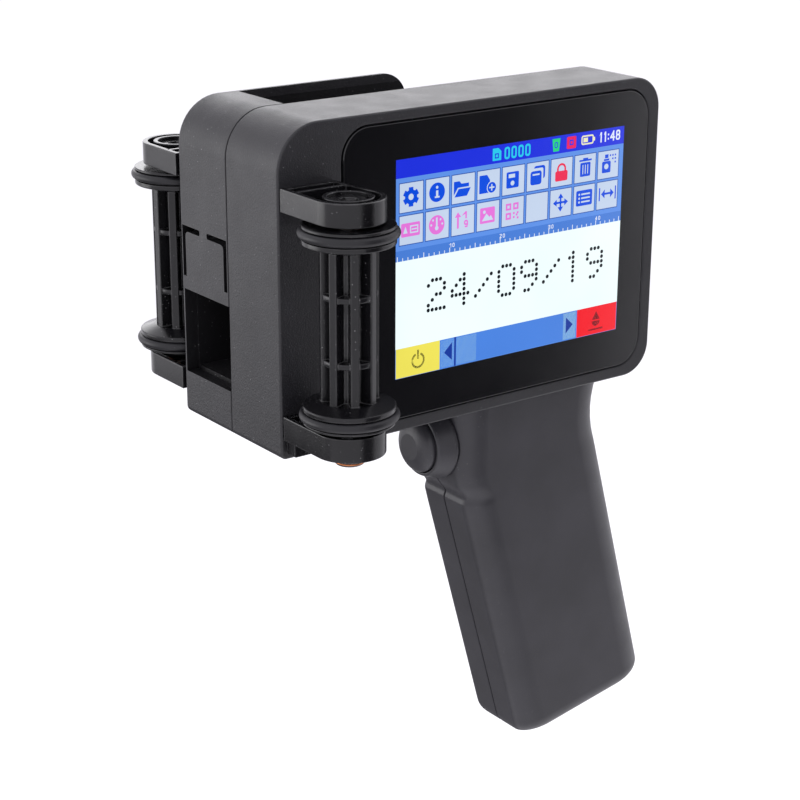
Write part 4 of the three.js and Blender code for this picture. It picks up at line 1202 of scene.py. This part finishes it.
# ---- screws -----------------------------------------------------------------------------------
def screw(node, head=2.4):
    """Countersunk cross-head screw with its flat at the CAD screw's rear end."""
    low, high = (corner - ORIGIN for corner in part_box(node))
    x, z = (low.x + high.x) / 2 / MM, (low.z + high.z) / 2 / MM
    top, foot = high.y / MM, low.y / MM
    profile = [(0.7, foot), (1.15, foot + 0.6), (1.15, top - 1.5), (head, top - 0.3), (head - 0.05, top)]
    obj = Mesh().lathe(profile, "Y", (x, 0, z), 40).object(f"{node}_fastener")
    wide = [(-1.5, 0.28), (-0.28, 0.28), (-0.28, 1.5), (0.28, 1.5), (0.28, 0.28), (1.5, 0.28)]
    cross = wide + [(-u, -v) for u, v in wide]
    cross = [(x + u, z + v) for u, v in cross]
    cut(obj, Mesh().slab(cross, top - 0.7, top + 1))
    finish_piece(obj, STEEL, node)


# ---- inner parts that keep their CAD shape ------------------------------------------------------
def dress(node, material):
    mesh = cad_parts[node].data
    mesh.materials.clear()
    mesh.materials.append(material)


def inner_parts():
    copy_of("usb_socket", "usb_shell", STEEL, 0.12)
    copy_of("charge_socket", "charge_shell", STEEL, 0.12)
    copy_of("power_switch", "power_switch_case", SATIN, 0.2)
    copy_of("trigger_switch", "trigger_switch_case", SATIN, 0.2)
    for node in ("main_board", "encoder_sensor", "battery_board"):
        dress(node, BOARD)
    for node in ("battery_cell_1", "battery_cell_2"):
        dress(node, CELL_WRAP)
    for node in ("grip_bolt_1", "grip_bolt_2"):
        dress(node, STEEL)
    dress("encoder_magnet", FERRITE)
    dress("display_module", SATIN)


# ---- studio -----------------------------------------------------------------------------------
def area_light(name, place, target, size, power):
    data = bpy.data.lights.new(name, "AREA")
    data.shape = "RECTANGLE"
    data.size, data.size_y = size
    data.energy = power
    obj = bpy.data.objects.new(name, data)
    bpy.context.scene.collection.objects.link(obj)
    obj.location = place
    aim = Vector(target) - Vector(place)
    obj.rotation_euler = aim.to_track_quat("-Z", "Y").to_euler()
    obj.visible_camera = False
    return obj


def card(name, corners, stops, axis, flag=True):
    """Flat studio card, shaded along one axis. A flag shows only in reflections."""
    mesh = bpy.data.meshes.new(name)
    mesh.from_pydata([Vector(c) for c in corners], [], [(0, 1, 2, 3)])
    obj = bpy.data.objects.new(name, mesh)
    bpy.context.scene.collection.objects.link(obj)
    material, tree, shader = node_material(name)
    coordinates = tree.nodes.new("ShaderNodeTexCoord")
    split = tree.nodes.new("ShaderNodeSeparateXYZ")
    tree.links.new(coordinates.outputs["Generated"], split.inputs["Vector"])
    tree.links.new(ramp(tree, split.outputs[axis], stops), shader.inputs["Base Color"])
    shader.inputs["Roughness"].default_value = 0.9
    shader.inputs["Specular IOR Level"].default_value = 0.0
    mesh.materials.append(material)
    if flag:
        obj.visible_camera = False
        obj.visible_diffuse = False
        obj.visible_shadow = False
    return obj


def studio():
    world = bpy.data.worlds.new("studio")
    bpy.context.scene.world = world
    world.use_nodes = True
    background = world.node_tree.nodes["Background"]
    background.inputs["Color"].default_value = (0.955, 0.94, 1, 1)
    background.inputs["Strength"].default_value = 1.15
    level = cad_box[0].z - 0.5
    floor = [(-9, -9, level), (9, -9, level), (9, 9, level), (-9, 9, level)]
    card("floor", floor, [(0, 0.92), (1, 0.94)], "X", flag=False)
    front = [(0.0, -1.0, -0.9), (0.95, -0.85, -0.9), (0.95, -0.85, 0.9), (0.0, -1.0, 0.9)]
    dark_left = [(0.0, 0.08), (0.3, 0.015), (0.72, 0.01), (0.82, 0.25), (0.88, 0.95)]
    card("flag_front", front, dark_left, "X")
    below = [(-0.6, 0.02, -0.13), (0.05, 0.02, -0.13), (0.05, 0.6, -0.13), (-0.6, 0.6, -0.13)]
    dark_middle = [(0.0, 0.3), (0.35, 0.25), (0.6, 0.03), (0.85, 0.6), (1, 0.95)]
    card("flag_left", below, dark_middle, "Y")
    area_light("key_left", (-1.2, 0.9, 0.1), (0, 0, 0.05), (0.9, 0.9), 5)
    area_light("back_sky", (0.9, 1.4, 0.62), (0, 0, 0.08), (1.7, 0.8), 7)


def camera():
    data = bpy.data.cameras.new("camera")
    data.sensor_width = 36
    data.lens = 87.469
    obj = bpy.data.objects.new("camera", data)
    bpy.context.scene.collection.objects.link(obj)
    right = Vector((0.8043, -0.5943, 0.0046))
    down = Vector((-0.1915, -0.2665, -0.9446))
    ahead = Vector((0.5626, 0.7588, -0.3281))
    turn = Matrix((right, -down, -ahead)).transposed()
    obj.matrix_world = Matrix.Translation((-0.318206, -0.371709, 0.205087)) @ turn.to_4x4()
    bpy.context.scene.camera = obj


camera()
studio()
bpy.context.scene.view_settings.view_transform = "Standard"

front_housing()
cover_glass()
rear_housing()
bay_wall()
power_cap()
contact_parts()
leaf_spring()
display()
for end, phase in (("front", 21.5), ("rear", 0)):
    arm(end, "upper", UPPER_ARM)
    arm(end, "lower", LOWER_ARM)
    roller(end, phase)
    axle(end)
axle_cap()
handle_half("front")
handle_half("rear")
trigger()
return_spring()
for screws, count in (("partition_screw", 4), ("saddle_screw", 2), ("handle_screw", 3)):
    for number in range(1, count + 1):
        screw(f"{screws}_{number}")
inner_parts()
